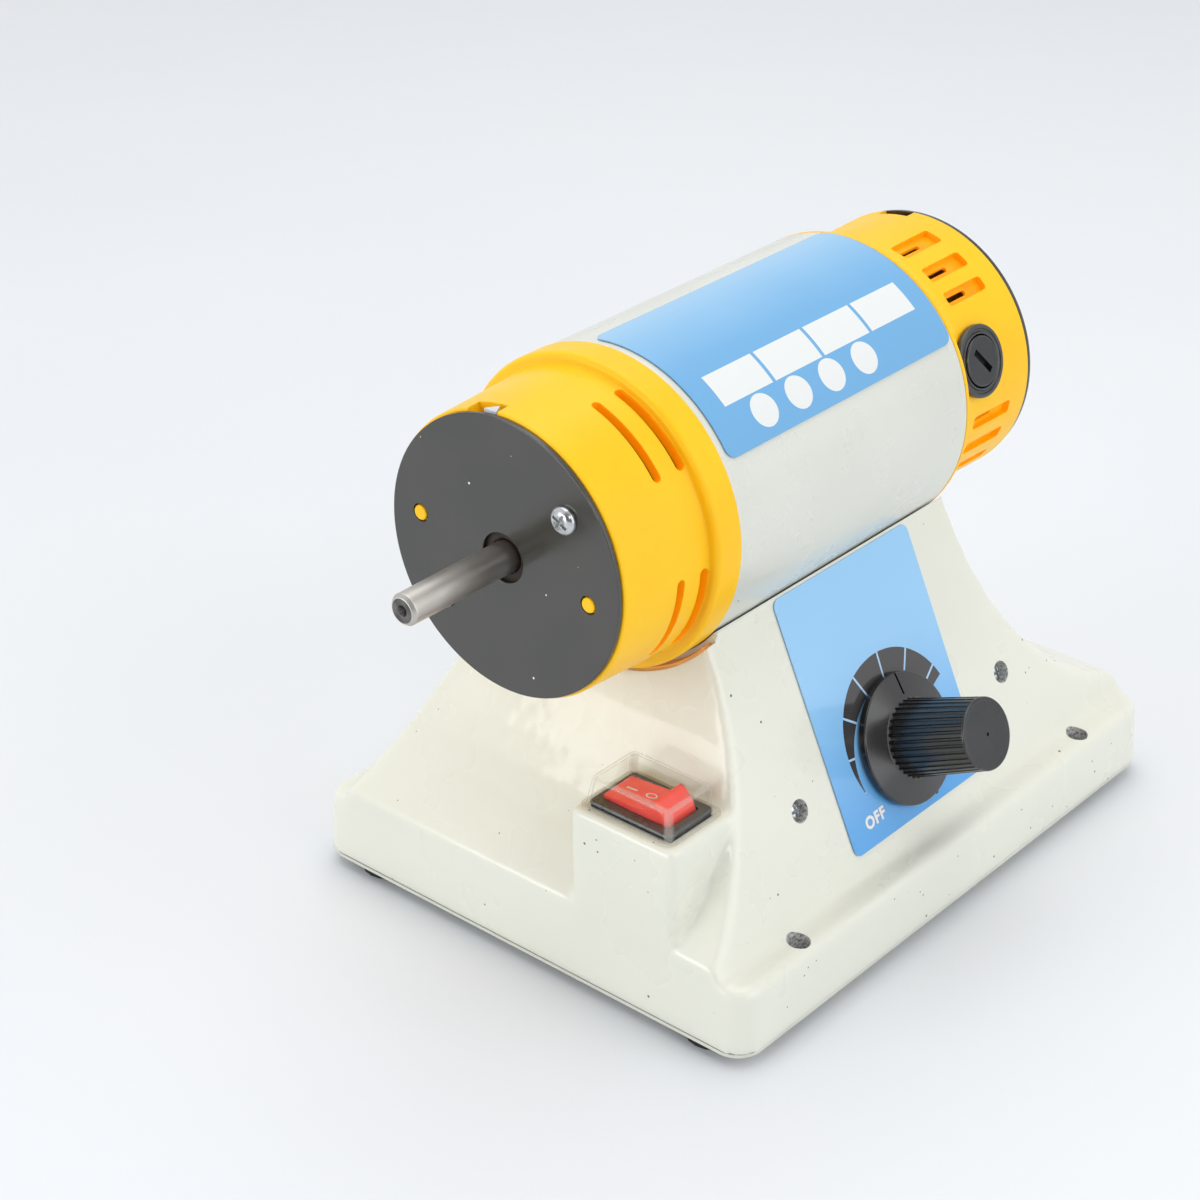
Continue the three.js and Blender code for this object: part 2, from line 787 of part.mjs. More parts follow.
function armatureCore() {
  const bore = shoulderRadius + seatGap;
  const slots = [];
  for (let i = 0; i < coreSlots; i += 1) {
    slots.push(turnedBy(block(
      [coreRadius - coreSlotDepth, coreStart - overrun, -coreSlotWidth / 2],
      [coreRadius + overrun, coreStart + coreLength + overrun, coreSlotWidth / 2],
    ), i * 360 / coreSlots));
  }
  return cut(ring(coreRadius, bore, coreStart, coreStart + coreLength), ...slots);
}

function armatureWinding(start) {
  const bore = shoulderRadius + seatGap;
  const end = start + windingLength;
  return turned([
    [bore, start],
    [windingRadius - windingRound, start],
    [windingRadius, start + windingRound],
    [windingRadius, end - windingRound],
    [windingRadius - windingRound, end],
    [bore, end],
  ], midSides);
}

function commutator() {
  const bore = shoulderRadius + seatGap;
  const end = commutatorStart + commutatorLength;
  const riserEnd = commutatorStart + riserLength;
  const body = turned([
    [bore, commutatorStart],
    [riserRadius, commutatorStart],
    [riserRadius, riserEnd],
    [commutatorRadius, riserEnd],
    [commutatorRadius, end],
    [bore, end],
  ]);
  const gaps = [];
  for (let i = 0; i < commutatorBars; i += 1) {
    gaps.push(turnedBy(block(
      [commutatorRadius - barGapDepth, commutatorStart - overrun, -barGap / 2],
      [riserRadius + overrun, end + overrun, barGap / 2],
    ), (i + 0.5) * 360 / commutatorBars));
  }
  return cut(body, ...gaps);
}

function coolingFan() {
  const bore = shoulderRadius + seatGap;
  const hubRadius = bore + fanHubWall;
  const end = -flangeDepth;
  const start = end - fanLength;
  const plate = ring(fanRadius, bore, end - fanPlate, end);
  const hub = ring(hubRadius, bore, start, end, midSides);
  const blades = [];
  for (let i = 0; i < fanBlades; i += 1) {
    blades.push(turnedBy(block(
      [hubRadius - fanHubWall / 2, start + fanPlate, -bladeThickness / 2],
      [fanRadius - fanPlate, end - fanPlate / 2, bladeThickness / 2],
    ), i * 360 / fanBlades));
  }
  return joined(plate, hub, ...blades);
}

function statorCore() {
  const tip = poleFace + poleTip;
  const window = new THREE.Shape();
  const neck = poleNeckAngle * degrees;
  const horn = poleTipAngle * degrees;
  const steps = [
    [windowRadius, -neck, neck, false],
    [tip, neck, horn, true],
    [poleFace, horn, Math.PI - horn, false],
    [tip, Math.PI - horn, Math.PI - neck, true],
    [windowRadius, Math.PI - neck, Math.PI + neck, false],
    [tip, Math.PI + neck, Math.PI + horn, true],
    [poleFace, Math.PI + horn, -horn + Math.PI * 2, false],
    [tip, -horn, -neck, true],
  ];
  for (const step of steps) window.absarc(0, 0, ...step);
  const holes = [motorScrewFront, motorScrewRear].map((y) => upright(
    motorScrewRadius + seatGap, 0, y, -statorRadius - overrun, -windowRadius + seatGap,
  ));
  const end = statorStart + statorLength;
  return cut(
    ring(statorRadius, 0, statorStart, end),
    alongY(window, statorStart - overrun, end + overrun),
    ...holes,
  );
}

// One field coil round a pole. Its legs lie in the windows and its ends pass the core's ends.
function fieldCoil(side) {
  const innerStart = statorStart - seatGap;
  const innerEnd = statorStart + statorLength + seatGap;
  const outline = roundedShape(
    -coilFar, innerStart - coilOverhang, coilFar, innerEnd + coilOverhang, coilOverhang,
  );
  const [low, high] = side > 0 ? [coilLow, coilHigh] : [-coilHigh, -coilLow];
  return cut(alongZ(outline, low, high), block(
    [-coilNear, innerStart, -coilHigh - overrun],
    [coilNear, innerEnd, coilHigh + overrun],
  ));
}

// Brush parts lie along X, out from the spindle's axis
function brushHolder() {
  const flangeBack = holderFace - holderFlange;
  const boreRadius = capRadius + seatGap;
  const boreFloor = holderFace - capBoreDepth;
  const body = joined(
    rod(holderFlangeRadius, [flangeBack, 0, 0], [holderFace, 0, 0], midSides),
    rod(holderBarrelRadius, [holderBarrelEnd, 0, 0], [flangeBack, 0, 0], midSides),
    rod(holderNozzleRadius, [holderNozzleEnd, 0, 0], [holderBarrelEnd, 0, 0], midSides),
  );
  return cut(
    body,
    rod(boreRadius, [boreFloor, 0, 0], [holderFace + overrun, 0, 0], midSides),
    block(
      [holderNozzleEnd - overrun, -carbonWidth / 2 - seatGap, -carbonHeight / 2 - seatGap],
      [holderFace, carbonWidth / 2 + seatGap, carbonHeight / 2 + seatGap],
    ),
    block(
      [flangeBack, -holderFlangeRadius - overrun, -holderFlangeRadius - overrun],
      [holderFace + overrun, -holderFlat, holderFlangeRadius + overrun],
    ),
  );
}

function brushCap() {
  const end = holderFace + capProud;
  return cut(
    rod(capRadius, [end - capLength, 0, 0], [end, 0, 0], midSides),
    block(
      [end - capSlotDepth, -capSlotLength / 2, -capSlotWidth / 2],
      [end + overrun, capSlotLength / 2, capSlotWidth / 2],
    ),
  );
}

function carbonBrush() {
  const start = commutatorRadius + seatGap;
  return block(
    [start, -carbonWidth / 2, -carbonHeight / 2],
    [start + carbonLength, carbonWidth / 2, carbonHeight / 2],
  );
}

class Helix extends THREE.Curve {
  constructor(radius, start, end, curls) {
    super();
    Object.assign(this, { radius, start, end, curls });
  }

  getPoint(share, target = new THREE.Vector3()) {
    const angle = share * this.curls * Math.PI * 2;
    return target.set(
      this.start + (this.end - this.start) * share,
      this.radius * Math.cos(angle),
      this.radius * Math.sin(angle),
    );
  }
}

function brushSpring() {
  const start = commutatorRadius + seatGap + carbonLength + seatGap + springWire;
  const end = holderFace + capProud - capLength - seatGap - springWire;
  const curve = new Helix(springRadius, start, end, springCurls);
  const pitch = (end - start) / springCurls;
  console.log(`brush spring: least gap between curls ${(pitch - 2 * springWire).toFixed(2)} mm`);
  const section = new THREE.Shape();
  const sides = 5;
  for (let i = 0; i < sides; i += 1) {
    const angle = i * Math.PI * 2 / sides;
    const [x, y] = [springWire * Math.cos(angle), springWire * Math.sin(angle)];
    if (i === 0) section.moveTo(x, y);
    else section.lineTo(x, y);
  }
  return solidOf(new THREE.ExtrudeGeometry(section, {
    steps: springCurls * springStepsPerCurl,
    bevelEnabled: false,
    extrudePath: curve,
  }));
}

// One end of the casting's scoops: where it runs out, where it meets the saddle, and its radius
function scoops(inset) {
  const run = (end, lip, foot) => {
    const across = Math.abs(end - lip);
    const drop = seamZ - foot;
    const radius = (across ** 2 + drop ** 2) / (2 * across);
    const outward = Math.sign(end - lip);
    return { radius: radius + inset, centre: lip + outward * radius, outward, end: end - outward * inset };
  };
  return [
    run(-baseFront + wallRecess, -saddleFrontLip, scoopFootFront),
    run(baseRear - wallRecess, saddleRearLip, scoopFootRear),
  ];
}

// The casting's tall body between the scoops, or its hollow when inset by the wall
function pedestal(inset, bottom) {
  const steps = inset > 0 ? 5 : 9;
  const stations = [];
  scoops(inset).forEach(({ radius, centre, outward, end }) => {
    const most = Math.acos(Math.abs(centre - end) / radius);
    const own = [];
    for (let i = 0; i <= steps; i += 1) {
      const angle = most * i / steps;
      own.push([centre - outward * radius * Math.cos(angle), seamZ - radius * Math.sin(angle)]);
    }
    stations.push(...(outward < 0 ? own.reverse() : own));
  });
  const turn = flankTilt * degrees;
  const tangentShare = Math.tan(turn / 2);
  const arcSteps = inset > 0 ? 1 : 3;
  const rings = stations.map(([y, top]) => {
    const foot = seamX + (seamZ - ledgeHeight) * cosTilt / sinTilt - inset / sinTilt;
    const side = (top - ledgeHeight) / sinTilt;
    const footRound = Math.min(flankFootRound, side / tangentShare * footRoundShare);
    const footTangent = footRound * tangentShare;
    const wanted = saddleEdgeRound + (shoulderRound - saddleEdgeRound)
      * Math.min(1, (seamZ - top) / ledgeHeight);
    const round = Math.min(wanted, (side - footTangent) / tangentShare * shoulderShare);
    const outline = [[foot + footTangent, bottom]];
    for (let i = 0; i <= arcSteps; i += 1) {
      const angle = turn * i / arcSteps;
      outline.push([
        foot + footTangent - footRound * Math.sin(angle),
        ledgeHeight + footRound * (1 - Math.cos(angle)),
      ]);
    }
    const shoulderX = foot - (top - ledgeHeight) * cosTilt / sinTilt;
    const shoulderTangent = round * tangentShare;
    for (let i = 0; i <= arcSteps; i += 1) {
      const angle = turn * (1 - i / arcSteps);
      outline.push([
        shoulderX - shoulderTangent + round * Math.sin(angle),
        top - round * (1 - Math.cos(angle)),
      ]);
    }
    const mirrored = outline.toReversed().map(([x, z]) => [-x, z]);
    return [...outline, ...mirrored].map(([x, z]) => [x, y, z]);
  });
  return loft(rings, ([x, , z]) => new THREE.Vector2(x, z));
}

// The casting's foot: a low block with rounded corners, drafted sides and a rounded top edge
function footBlock() {
  const levels = [[0, 0], [ledgeHeight - ledgeRound, baseDraft]];
  const roundSteps = 3;
  for (let i = 1; i <= roundSteps; i += 1) {
    const angle = Math.PI / 2 * i / roundSteps;
    levels.push([
      ledgeHeight - ledgeRound * (1 - Math.sin(angle)),
      baseDraft + ledgeRound * (1 - Math.cos(angle)),
    ]);
  }
  const rings = levels.map(([z, inset]) => roundedShape(
    -baseHalfWidth + inset, -baseFront + inset, baseHalfWidth - inset, baseRear - inset, baseCorner - inset,
  ).getPoints(arcSegments).slice(0, -1).map(({ x, y }) => [x, y, z]));
  return loft(rings, ([x, y]) => new THREE.Vector2(x, y));
}

function baseCasting() {
  const onAxis = (solid) => solid.translate([0, 0, axisHeight]);
  const boxLeft = switchX - boxHalfWidth;
  const boxRight = switchX + boxHalfWidth;
  const boxFront = -baseFront + wallRecess - boxProud;
  const outside = joined(
    footBlock(),
    pedestal(0, ledgeHeight / 2),
    alongZ(
      roundedShape(boxLeft, boxFront, boxRight, -boxBack, boxCorner),
      ledgeHeight / 3,
      boxHeight,
    ),
  );
  const footHollow = alongZ(
    roundedShape(
      -baseHalfWidth + baseDraft + castWall,
      -baseFront + baseDraft + castWall,
      baseHalfWidth - baseDraft - castWall,
      baseRear - baseDraft - castWall,
      baseCorner - castWall,
    ),
    -overrun,
    ledgeHeight - castWall,
  );
  const boxHollow = block(
    [boxLeft + boxWall, boxFront + boxWall, -overrun],
    [boxRight - boxWall, -boxBack, boxHeight - boxWall],
  );
  const saddle = onAxis(ring(saddleRadius, 0, -baseFront - overrun, baseRear + overrun));
  const underSaddle = onAxis(ring(saddleUnderside, 0, -baseFront, baseRear));
  const recess = onAxis(ring(flangeRadius + flangeRecess, 0, -baseFront - overrun, seatGap));
  const benchPlaces = [-1, 1].flatMap((side) => [-benchHoleFront, benchHoleRear].map(
    (y) => [side * benchHoleX, y],
  ));
  const footPlaces = [-1, 1].flatMap((side) => [-footFront, footRear].map((y) => [side * footX, y]));
  const bossStart = -2 * overrun;
  const bosses = [
    ...benchPlaces.map(([x, y]) => upright(benchBossRadius, x, y, bossStart, boxHeight)),
    ...footPlaces.map(([x, y]) => upright(footBossRadius, x, y, bossStart, boxHeight, tinySides)),
  ];
  const hollow = cut(
    joined(footHollow, pedestal(castWall, -overrun).subtract(underSaddle), boxHollow),
    ...bosses,
  );
  const holes = [
    ...benchPlaces.map(([x, y]) => upright(
      benchHoleRadius, x, y, -overrun, ledgeHeight + flankFootRound + overrun, midSides,
    )),
    ...footPlaces.map(([x, y]) => upright(
      footScrewRadius + seatGap, x, y, -overrun, footScrewReach + seatGap,
    )),
    ...[motorScrewFront, motorScrewRear].map((y) => upright(
      motorScrewRadius + seatGap, 0, y, axisHeight - saddleUnderside - overrun, axisHeight - tubeRadius,
    )),
    rod(
      grommetNeck + seatGap,
      [grommetX, baseRear - baseDraft - castWall - overrun, grommetHeight],
      [grommetX, baseRear + overrun, grommetHeight],
      midSides,
    ),
    block(
      [
        switchX - switchBodyHalfLength - seatGap,
        -switchSetback - switchBodyHalfWidth - seatGap,
        boxHeight - boxWall - overrun,
      ],
      [
        switchX + switchBodyHalfLength + seatGap,
        -switchSetback + switchBodyHalfWidth + seatGap,
        boxHeight + overrun,
      ],
    ),
    block(
      [
        switchX - coverHalfLength - coverClearance,
        -switchSetback - coverHalfWidth - coverClearance,
        boxHeight,
      ],
      [
        switchX + coverHalfLength + coverClearance,
        -switchSetback + coverHalfWidth + coverClearance,
        boxHeight + coverHeight + overrun,
      ],
    ),
    ...flankScrewAlong.flatMap((along) => [
      rod(flankHoleRadius, [along, -flankScrewDown, -flankHoleDepth], [along, -flankScrewDown, overrun]),
      rod(
        flankScrewShank + seatGap,
        [along, -flankScrewDown, -castWall - overrun],
        [along, -flankScrewDown, 0],
      ),
    ]).map(onFlank),
    onFlank(rod(
      potBushRadius + seatGap,
      [knobAlong, -knobDown, -castWall - overrun],
      [knobAlong, -knobDown, overrun],
      midSides,
    )),
  ];
  return cut(outside, hollow, saddle, recess, ...holes);
}

function baseCoverPlate() {
  const outline = roundedShape(
    -baseHalfWidth + plateInset,
    -baseFront + plateInset,
    baseHalfWidth - plateInset,
    baseRear - plateInset,
    baseCorner - plateInset,
  );
  const top = -seatGap;
  const bottom = top - platePieceThickness;
  const holes = [-1, 1].flatMap((side) => [
    ...[-benchHoleFront, benchHoleRear].map((y) => [benchHoleRadius + seatGap, side * benchHoleX, y]),
    ...[-footFront, footRear].map((y) => [footScrewRadius + seatGap, side * footX, y]),
  ]).map(([radius, x, y]) => upright(radius, x, y, bottom - overrun, top + overrun, tinySides));
  return cut(alongZ(outline, bottom, top), ...holes);
}

const footTop = -seatGap - platePieceThickness - seatGap;

function rubberFoot() {
  const toe = footTop - footHeight;
  const bore = footScrewRadius + seatGap;
  return turned([
    [bore, footTop],
    [footRadius, footTop],
    [footToeRadius, toe],
    [footPocketRadius, toe],
    [footPocketRadius, toe + footPocketDepth],
    [bore, toe + footPocketDepth],
  ], midSides).rotate([90, 0, 0]);
}

function footScrew() {
  const headTop = footTop - footHeight + footPocketDepth - seatGap;
  const headBottom = headTop - footScrewHeadHeight;
  return turned([
    [0, headBottom],
    [footScrewFace, headBottom],
    [footScrewHead, headTop],
    [footScrewRadius, headTop],
    [footScrewRadius, footScrewReach],
    [0, footScrewReach],
  ], smallSides).rotate([90, 0, 0]);
}

function motorScrew() {
  const headTop = axisHeight - saddleUnderside - seatGap;
  const headBottom = headTop - motorScrewHeadHeight;
  const tip = axisHeight - windowRadius;
  return turned([
    [0, headBottom],
    [motorScrewHead, headBottom],
    [motorScrewHead, headTop],
    [motorScrewRadius, headTop],
    [motorScrewRadius, tip],
    [0, tip],
  ], smallSides).rotate([90, 0, 0]);
}

// Switch parts stand round the switch's centre, at the height of the box's top
const coverFlangeTop = seatGap + coverFlange;
const bezelBottom = coverFlangeTop + seatGap;
const bezelTop = bezelBottom + bezelThickness;

function centred(halfLength, halfWidth, corner) {
  return roundedShape(-halfLength, -halfWidth, halfLength, halfWidth, corner);
}

function switchHousing() {
  const body = joined(
    alongZ(centred(bezelHalfLength, bezelHalfWidth, bezelCorner), bezelBottom, bezelTop),
    block(
      [-switchBodyHalfLength, -switchBodyHalfWidth, -switchBodyDepth],
      [switchBodyHalfLength, switchBodyHalfWidth, bezelBottom],
    ),
  );
  return cut(
    body,
    block(
      [-rockerWellHalfLength, -rockerWellHalfWidth, -rockerWellDepth],
      [rockerWellHalfLength, rockerWellHalfWidth, bezelTop + overrun],
    ),
    rod(
      rockerPinRadius + seatGap,
      [0, -switchBodyHalfWidth - overrun, -rockerPivotDrop],
      [0, switchBodyHalfWidth + overrun, -rockerPivotDrop],
    ),
  );
}

function switchRocker() {
  const outline = polygon([
    [-rockerHalfLength, -rockerEndDrop],
    [0, -rockerKeel],
    [rockerHalfLength, -rockerEndDrop],
    [rockerHalfLength, rockerEndRise],
    [rockerHalfLength - rockerEndFlat, rockerEndRise],
    [0, rockerMiddleRise],
    [-rockerHalfLength + rockerEndFlat, rockerEndRise],
    [-rockerHalfLength, rockerEndRise],
  ]);
  const pinEnd = rockerWellHalfWidth + seatGap;
  return joined(
    alongY(outline, -rockerHalfWidth, rockerHalfWidth),
    rod(rockerPinRadius, [0, -pinEnd, 0], [0, pinEnd, 0]),
  ).rotate([0, -rockerThrow / 2, 0]).translate([0, 0, -rockerPivotDrop]);
}

function switchCover() {
  const innerLength = bezelHalfLength + coverGap;
  const innerWidth = bezelHalfWidth + coverGap;
  const outerLength = innerLength + coverWall;
  const outerWidth = innerWidth + coverWall;
  const dome = (halfLength, halfWidth, low, high, chamfer) => alongY(polygon([
    [-halfLength, low],
    [halfLength, low],
    [halfLength, high - chamfer],
    [halfLength - chamfer, high],
    [-halfLength + coverWall, high],
  ]), -halfWidth, halfWidth);
  return cut(
    joined(
      dome(outerLength, outerWidth, seatGap, coverHeight, coverChamfer),
      alongZ(centred(coverHalfLength, coverHalfWidth, coverFlangeCorner), seatGap, coverFlangeTop),
    ),
    dome(innerLength, innerWidth, coverFlangeTop, coverHeight - coverWall, coverChamfer - coverWall / 2),
    block(
      [-switchBodyHalfLength - seatGap, -switchBodyHalfWidth - seatGap, -overrun],
      [switchBodyHalfLength + seatGap, switchBodyHalfWidth + seatGap, bezelBottom],
    ),
  );
}

function switchTerminal(side) {
  const top = -switchBodyDepth - seatGap;
  const x = side * terminalSpread;
  return block(
    [x - terminalThickness / 2, -terminalWidth / 2, top - terminalLength],
    [x + terminalThickness / 2, terminalWidth / 2, top],
  );
}

// Control parts are given in the flank's frame, round the knob's axis along z
const bracketFront = -castWall - seatGap;
const bracketBack = bracketFront - bracketThickness;

function flankLabel() {
  const outline = roundedShape(
    flankLabelStart - knobAlong,
    knobDown - flankLabelTop - flankLabelHeight,
    flankLabelStart + flankLabelLength - knobAlong,
    knobDown - flankLabelTop,
    flankLabelCorner,
  );
  const film = alongZ(outline, skinGap, skinGap + labelThickness);
  return cut(film, upright(nutRadius + seatGap, 0, 0, -overrun, overrun, midSides));
}

function aroundKnob(outline, sides = wideSides) {
  return turned(outline, sides).rotate([90, 0, 0]);
}

function speedKnob() {
  const flutedPoints = [];
  const pointsPerFlute = 4;
  const total = knobFlutes * pointsPerFlute;
  for (let i = 0; i < total; i += 1) {
    const angle = i * Math.PI * 2 / total;
    const raised = i % pointsPerFlute < pointsPerFlute / 2;
    const radius = knobGripRadius - (raised ? 0 : knobFluteDepth);
    flutedPoints.push([radius * Math.cos(angle), radius * Math.sin(angle)]);
  }
  const gripStart = knobSkirtRise - seatGap;
  const gripLength = knobReach - gripStart;
  const grip = extruded(polygon(flutedPoints), gripLength);
  const places = grip.getAttribute('position');
  const taperShare = 1 - knobGripEndRadius / knobGripRadius;
  for (let i = 0; i < places.count; i += 1) {
    const scale = 1 - taperShare * places.getZ(i) / gripLength;
    places.setXY(i, places.getX(i) * scale, places.getY(i) * scale);
  }
  const skirt = aroundKnob([
    [0, knobSkirtBottom],
    [knobSkirtRadius, knobSkirtBottom],
    [knobSkirtRadius, knobSkirtBottom + knobSkirtEdge],
    [knobNeckRadius, knobSkirtRise],
    [0, knobSkirtRise],
  ]);
  const pocketRoof = knobSkirtBottom + knobPocketDepth;
  return cut(
    joined(skirt, solidOf(grip.translate(0, 0, gripStart))),
    upright(knobPocketRadius, 0, 0, -overrun, pocketRoof, midSides),
    upright(potShaftRadius + seatGap, 0, 0, -overrun, pocketRoof + potShaftGrip + seatGap),
  );
}

function potentiometerBody() {
  const top = bracketBack - seatGap;
  const bore = potShaftRadius + seatGap;
  return aroundKnob([
    [0, top - potBodyLength],
    [potBodyRadius, top - potBodyLength],
    [potBodyRadius, top],
    [potBushRadius, top],
    [potBushRadius, potBushReach],
    [bore, potBushReach],
    [bore, top - potShaftSeat - seatGap],
    [0, top - potShaftSeat - seatGap],
  ], midSides);
}

function potentiometerShaft() {
  const pocketRoof = knobSkirtBottom + knobPocketDepth;
  return upright(potShaftRadius, 0, 0, bracketBack - seatGap - potShaftSeat, pocketRoof + potShaftGrip);
}

function potentiometerNut() {
  const start = skinGap + labelThickness + seatGap;
  return cut(
    upright(nutRadius, 0, 0, start, start + nutThickness, nutSides),
    upright(potBushRadius + seatGap / 2, 0, 0, -overrun, start + nutThickness + overrun),
  );
}

function controlBracket() {
  const low = -bracketDrop;
  const earLow = knobDown - flankScrewDown - bracketEar;
  const earHigh = knobDown - flankScrewDown + bracketEar;
  const [left, right] = flankScrewAlong.map((along) => along - knobAlong);
  const start = bracketStart - knobAlong;
  const end = start + bracketLength;
  const outline = polygon([
    [left - bracketEar, earLow],
    [start, earLow],
    [start, low],
    [end, low],
    [end, earLow],
    [right + bracketEar, earLow],
    [right + bracketEar, earHigh],
    [left - bracketEar, earHigh],
  ]);
  const shelf = block(
    [start, low, bracketBack - bracketDepth],
    [end, low + bracketThickness, bracketFront],
  );
  return cut(
    joined(alongZ(outline, bracketBack, bracketFront), shelf),
    upright(potBushRadius + seatGap, 0, 0, bracketBack - overrun, overrun),
    ...[left, right].map((x) => upright(
      flankScrewShank + seatGap, x, knobDown - flankScrewDown, bracketBack - overrun, overrun,
    )),
  );
}

const boardBottom = -bracketDrop + bracketThickness + seatGap;
const boardBack = bracketBack - bracketDepth + boardMargin;

function controlBoard() {
  const start = bracketStart - knobAlong + boardMargin;
  return block(
    [start, boardBottom, boardBack],
    [start + bracketLength - 2 * boardMargin, boardBottom + boardThickness, boardBack + boardDepth],
  );
}

function controlCapacitor() {
  const x = bracketStart + bracketLength - knobAlong - capacitorInset;
  const z = boardBack + capacitorInset;
  const y = boardBottom + boardThickness + seatGap;
  return rod(capacitorRadius, [x, y, z], [x, y + capacitorLength, z], midSides);
}

function flankScrew(along) {
  const seat = -flankHoleDepth + seatGap;
  return aroundKnob([
    [0, bracketBack - seatGap],
    [flankScrewShank, bracketBack - seatGap],
    [flankScrewShank, seat],
    [flankScrewHead, seat],
    [flankScrewFace, seat + flankScrewHeadHeight],
    [0, seat + flankScrewHeadHeight],
  ], smallSides).translate([along, -flankScrewDown, 0]);
}

function cordGrommet() {
  const wallIn = baseRear - baseDraft - castWall;
  const outFace = baseRear + seatGap;
  const inFace = wallIn - seatGap;
  return turned([
    [grommetBore, inFace - grommetLip],
    [grommetFlange, inFace - grommetLip],
    [grommetFlange, inFace],
    [grommetNeck, inFace],
    [grommetNeck, outFace],
    [grommetFlange, outFace],
    [grommetFlange - grommetLip / 2, outFace + grommetLip],
    [grommetBore, outFace + grommetLip],
  ], midSides).translate([grommetX, 0, grommetHeight]);
}

// Motor
add(motor, 'motor_tube', motorTube(), tubePaint);
add(motor, 'motor_label', tubeLabel(), labelFilm);
add(motor, 'front_bell', frontBell(), yellowPlastic);
add(motor, 'rear_bell', rearBell(), yellowPlastic);
const frontDiscFace = frontDiscBack - discThickness;
add(motor, 'front_disc', coverDisc(discRadius, discBoreRadius, frontDiscFace, true), blackPaint);
add(motor, 'rear_disc', coverDisc(rearDiscRadius, 0, rearDiscFront, false), blackPaint);
discScrewPlaces().forEach((place, i) => {
  const frontSeat = frontDiscFace - seatGap;
  const frontTip = -frontDepth + bellWeb + screwBossLength;
  add(motor, `front_cover_screw_${i + 1}`, coverScrew(place, frontSeat, frontTip), zinc);
  const rearSeat = rearDiscFront + discThickness + seatGap;
  const rearTip = rearEnd + rearDepth - bellWeb - screwBossLength;
  add(motor, `rear_cover_screw_${i + 1}`, coverScrew(place, rearSeat, rearTip), zinc);
});
add(motor, 'spindle_shaft', spindleShaft(), groundSteel);
add(motor, 'front_bearing', bearing(frontBearingStart), bearingSteel);
add(motor, 'rear_bearing', bearing(rearBearingStart), bearingSteel);
add(motor, 'armature_core', armatureCore(), coreSteel);
add(motor, 'winding_front', armatureWinding(coreStart - seatGap - windingLength), copper);
add(motor, 'winding_rear', armatureWinding(coreStart + coreLength + seatGap), copper);
add(motor, 'commutator', commutator(), copper);
add(motor, 'cooling_fan', coolingFan(), fanPlastic);
add(motor, 'stator_core', statorCore(), coreSteel);
add(motor, 'field_coil_top', fieldCoil(1), copper);
add(motor, 'field_coil_bottom', fieldCoil(-1), copper);
for (const [side, angle] of [['right', brushAngle], ['left', brushAngle + 180]]) {
  const arm = new THREE.Group();
  arm.position.y = rearEnd + brushSetback;
  arm.rotation.y = -angle * degrees;
  motor.add(arm);
  add(arm, `brush_holder_${side}`, brushHolder(), blackPlastic);
  add(arm, `brush_cap_${side}`, brushCap(), blackPlastic);
  add(arm, `carbon_brush_${side}`, carbonBrush(), carbon);
  add(arm, `brush_spring_${side}`, brushSpring(), brass);
}

// Base
add(lathe, 'base_casting', baseCasting(), creamPaint);
add(lathe, 'base_cover_plate', baseCoverPlate(), blackPaint);
for (const [side, x] of [['left', -footX], ['right', footX]]) {
  for (const [end, y] of [['front', -footFront], ['rear', footRear]]) {
    const corner = new THREE.Group();
    corner.position.set(x, y, 0);
    lathe.add(corner);
    add(corner, `foot_${end}_${side}`, rubberFoot(), footRubber);
    add(corner, `foot_screw_${end}_${side}`, footScrew(), zinc);
  }
}
for (const [end, y] of [['front', motorScrewFront], ['rear', motorScrewRear]]) {
  add(lathe, `motor_screw_${end}`, motorScrew().translate([0, y, 0]), zinc);
}
add(lathe, 'cord_grommet', cordGrommet(), footRubber);

// Switch
const switchSeat = new THREE.Group();
switchSeat.position.set(switchX, -switchSetback, boxHeight);
lathe.add(switchSeat);
add(switchSeat, 'switch_housing', switchHousing(), blackPlastic);
add(switchSeat, 'switch_rocker', switchRocker(), rockerRed);
add(switchSeat, 'switch_cover', switchCover(), clearCover);
add(switchSeat, 'switch_terminal_left', switchTerminal(-1), brass);
add(switchSeat, 'switch_terminal_right', switchTerminal(1), brass);

// Speed control
const knobSeat = new THREE.Group();
knobSeat.position.set(knobAlong, -knobDown, 0);
flank.add(knobSeat);
add(knobSeat, 'speed_label', flankLabel(), labelFilm);
add(knobSeat, 'speed_knob', speedKnob(), blackPlastic);
add(knobSeat, 'potentiometer_body', potentiometerBody(), bracketSteel);
add(knobSeat, 'potentiometer_shaft', potentiometerShaft(), zinc);
add(knobSeat, 'potentiometer_nut', potentiometerNut(), zinc);
add(knobSeat, 'control_bracket', controlBracket(), bracketSteel);
add(knobSeat, 'control_board', controlBoard(), boardGreen);
add(knobSeat, 'control_capacitor', controlCapacitor(), capacitorBlue);
add(flank, 'flank_screw_front', flankScrew(flankScrewAlong[0]), zinc);
add(flank, 'flank_screw_rear', flankScrew(flankScrewAlong[1]), zinc);

// The origin is the middle of the underside of the whole machine
const extent = new THREE.Box3().setFromObject(lathe, true);
const middle = extent.getCenter(new THREE.Vector3());
lathe.position.set(-middle.x, -middle.y, -extent.min.z);
lathe.name = 'polishing_lathe';

export default lathe;
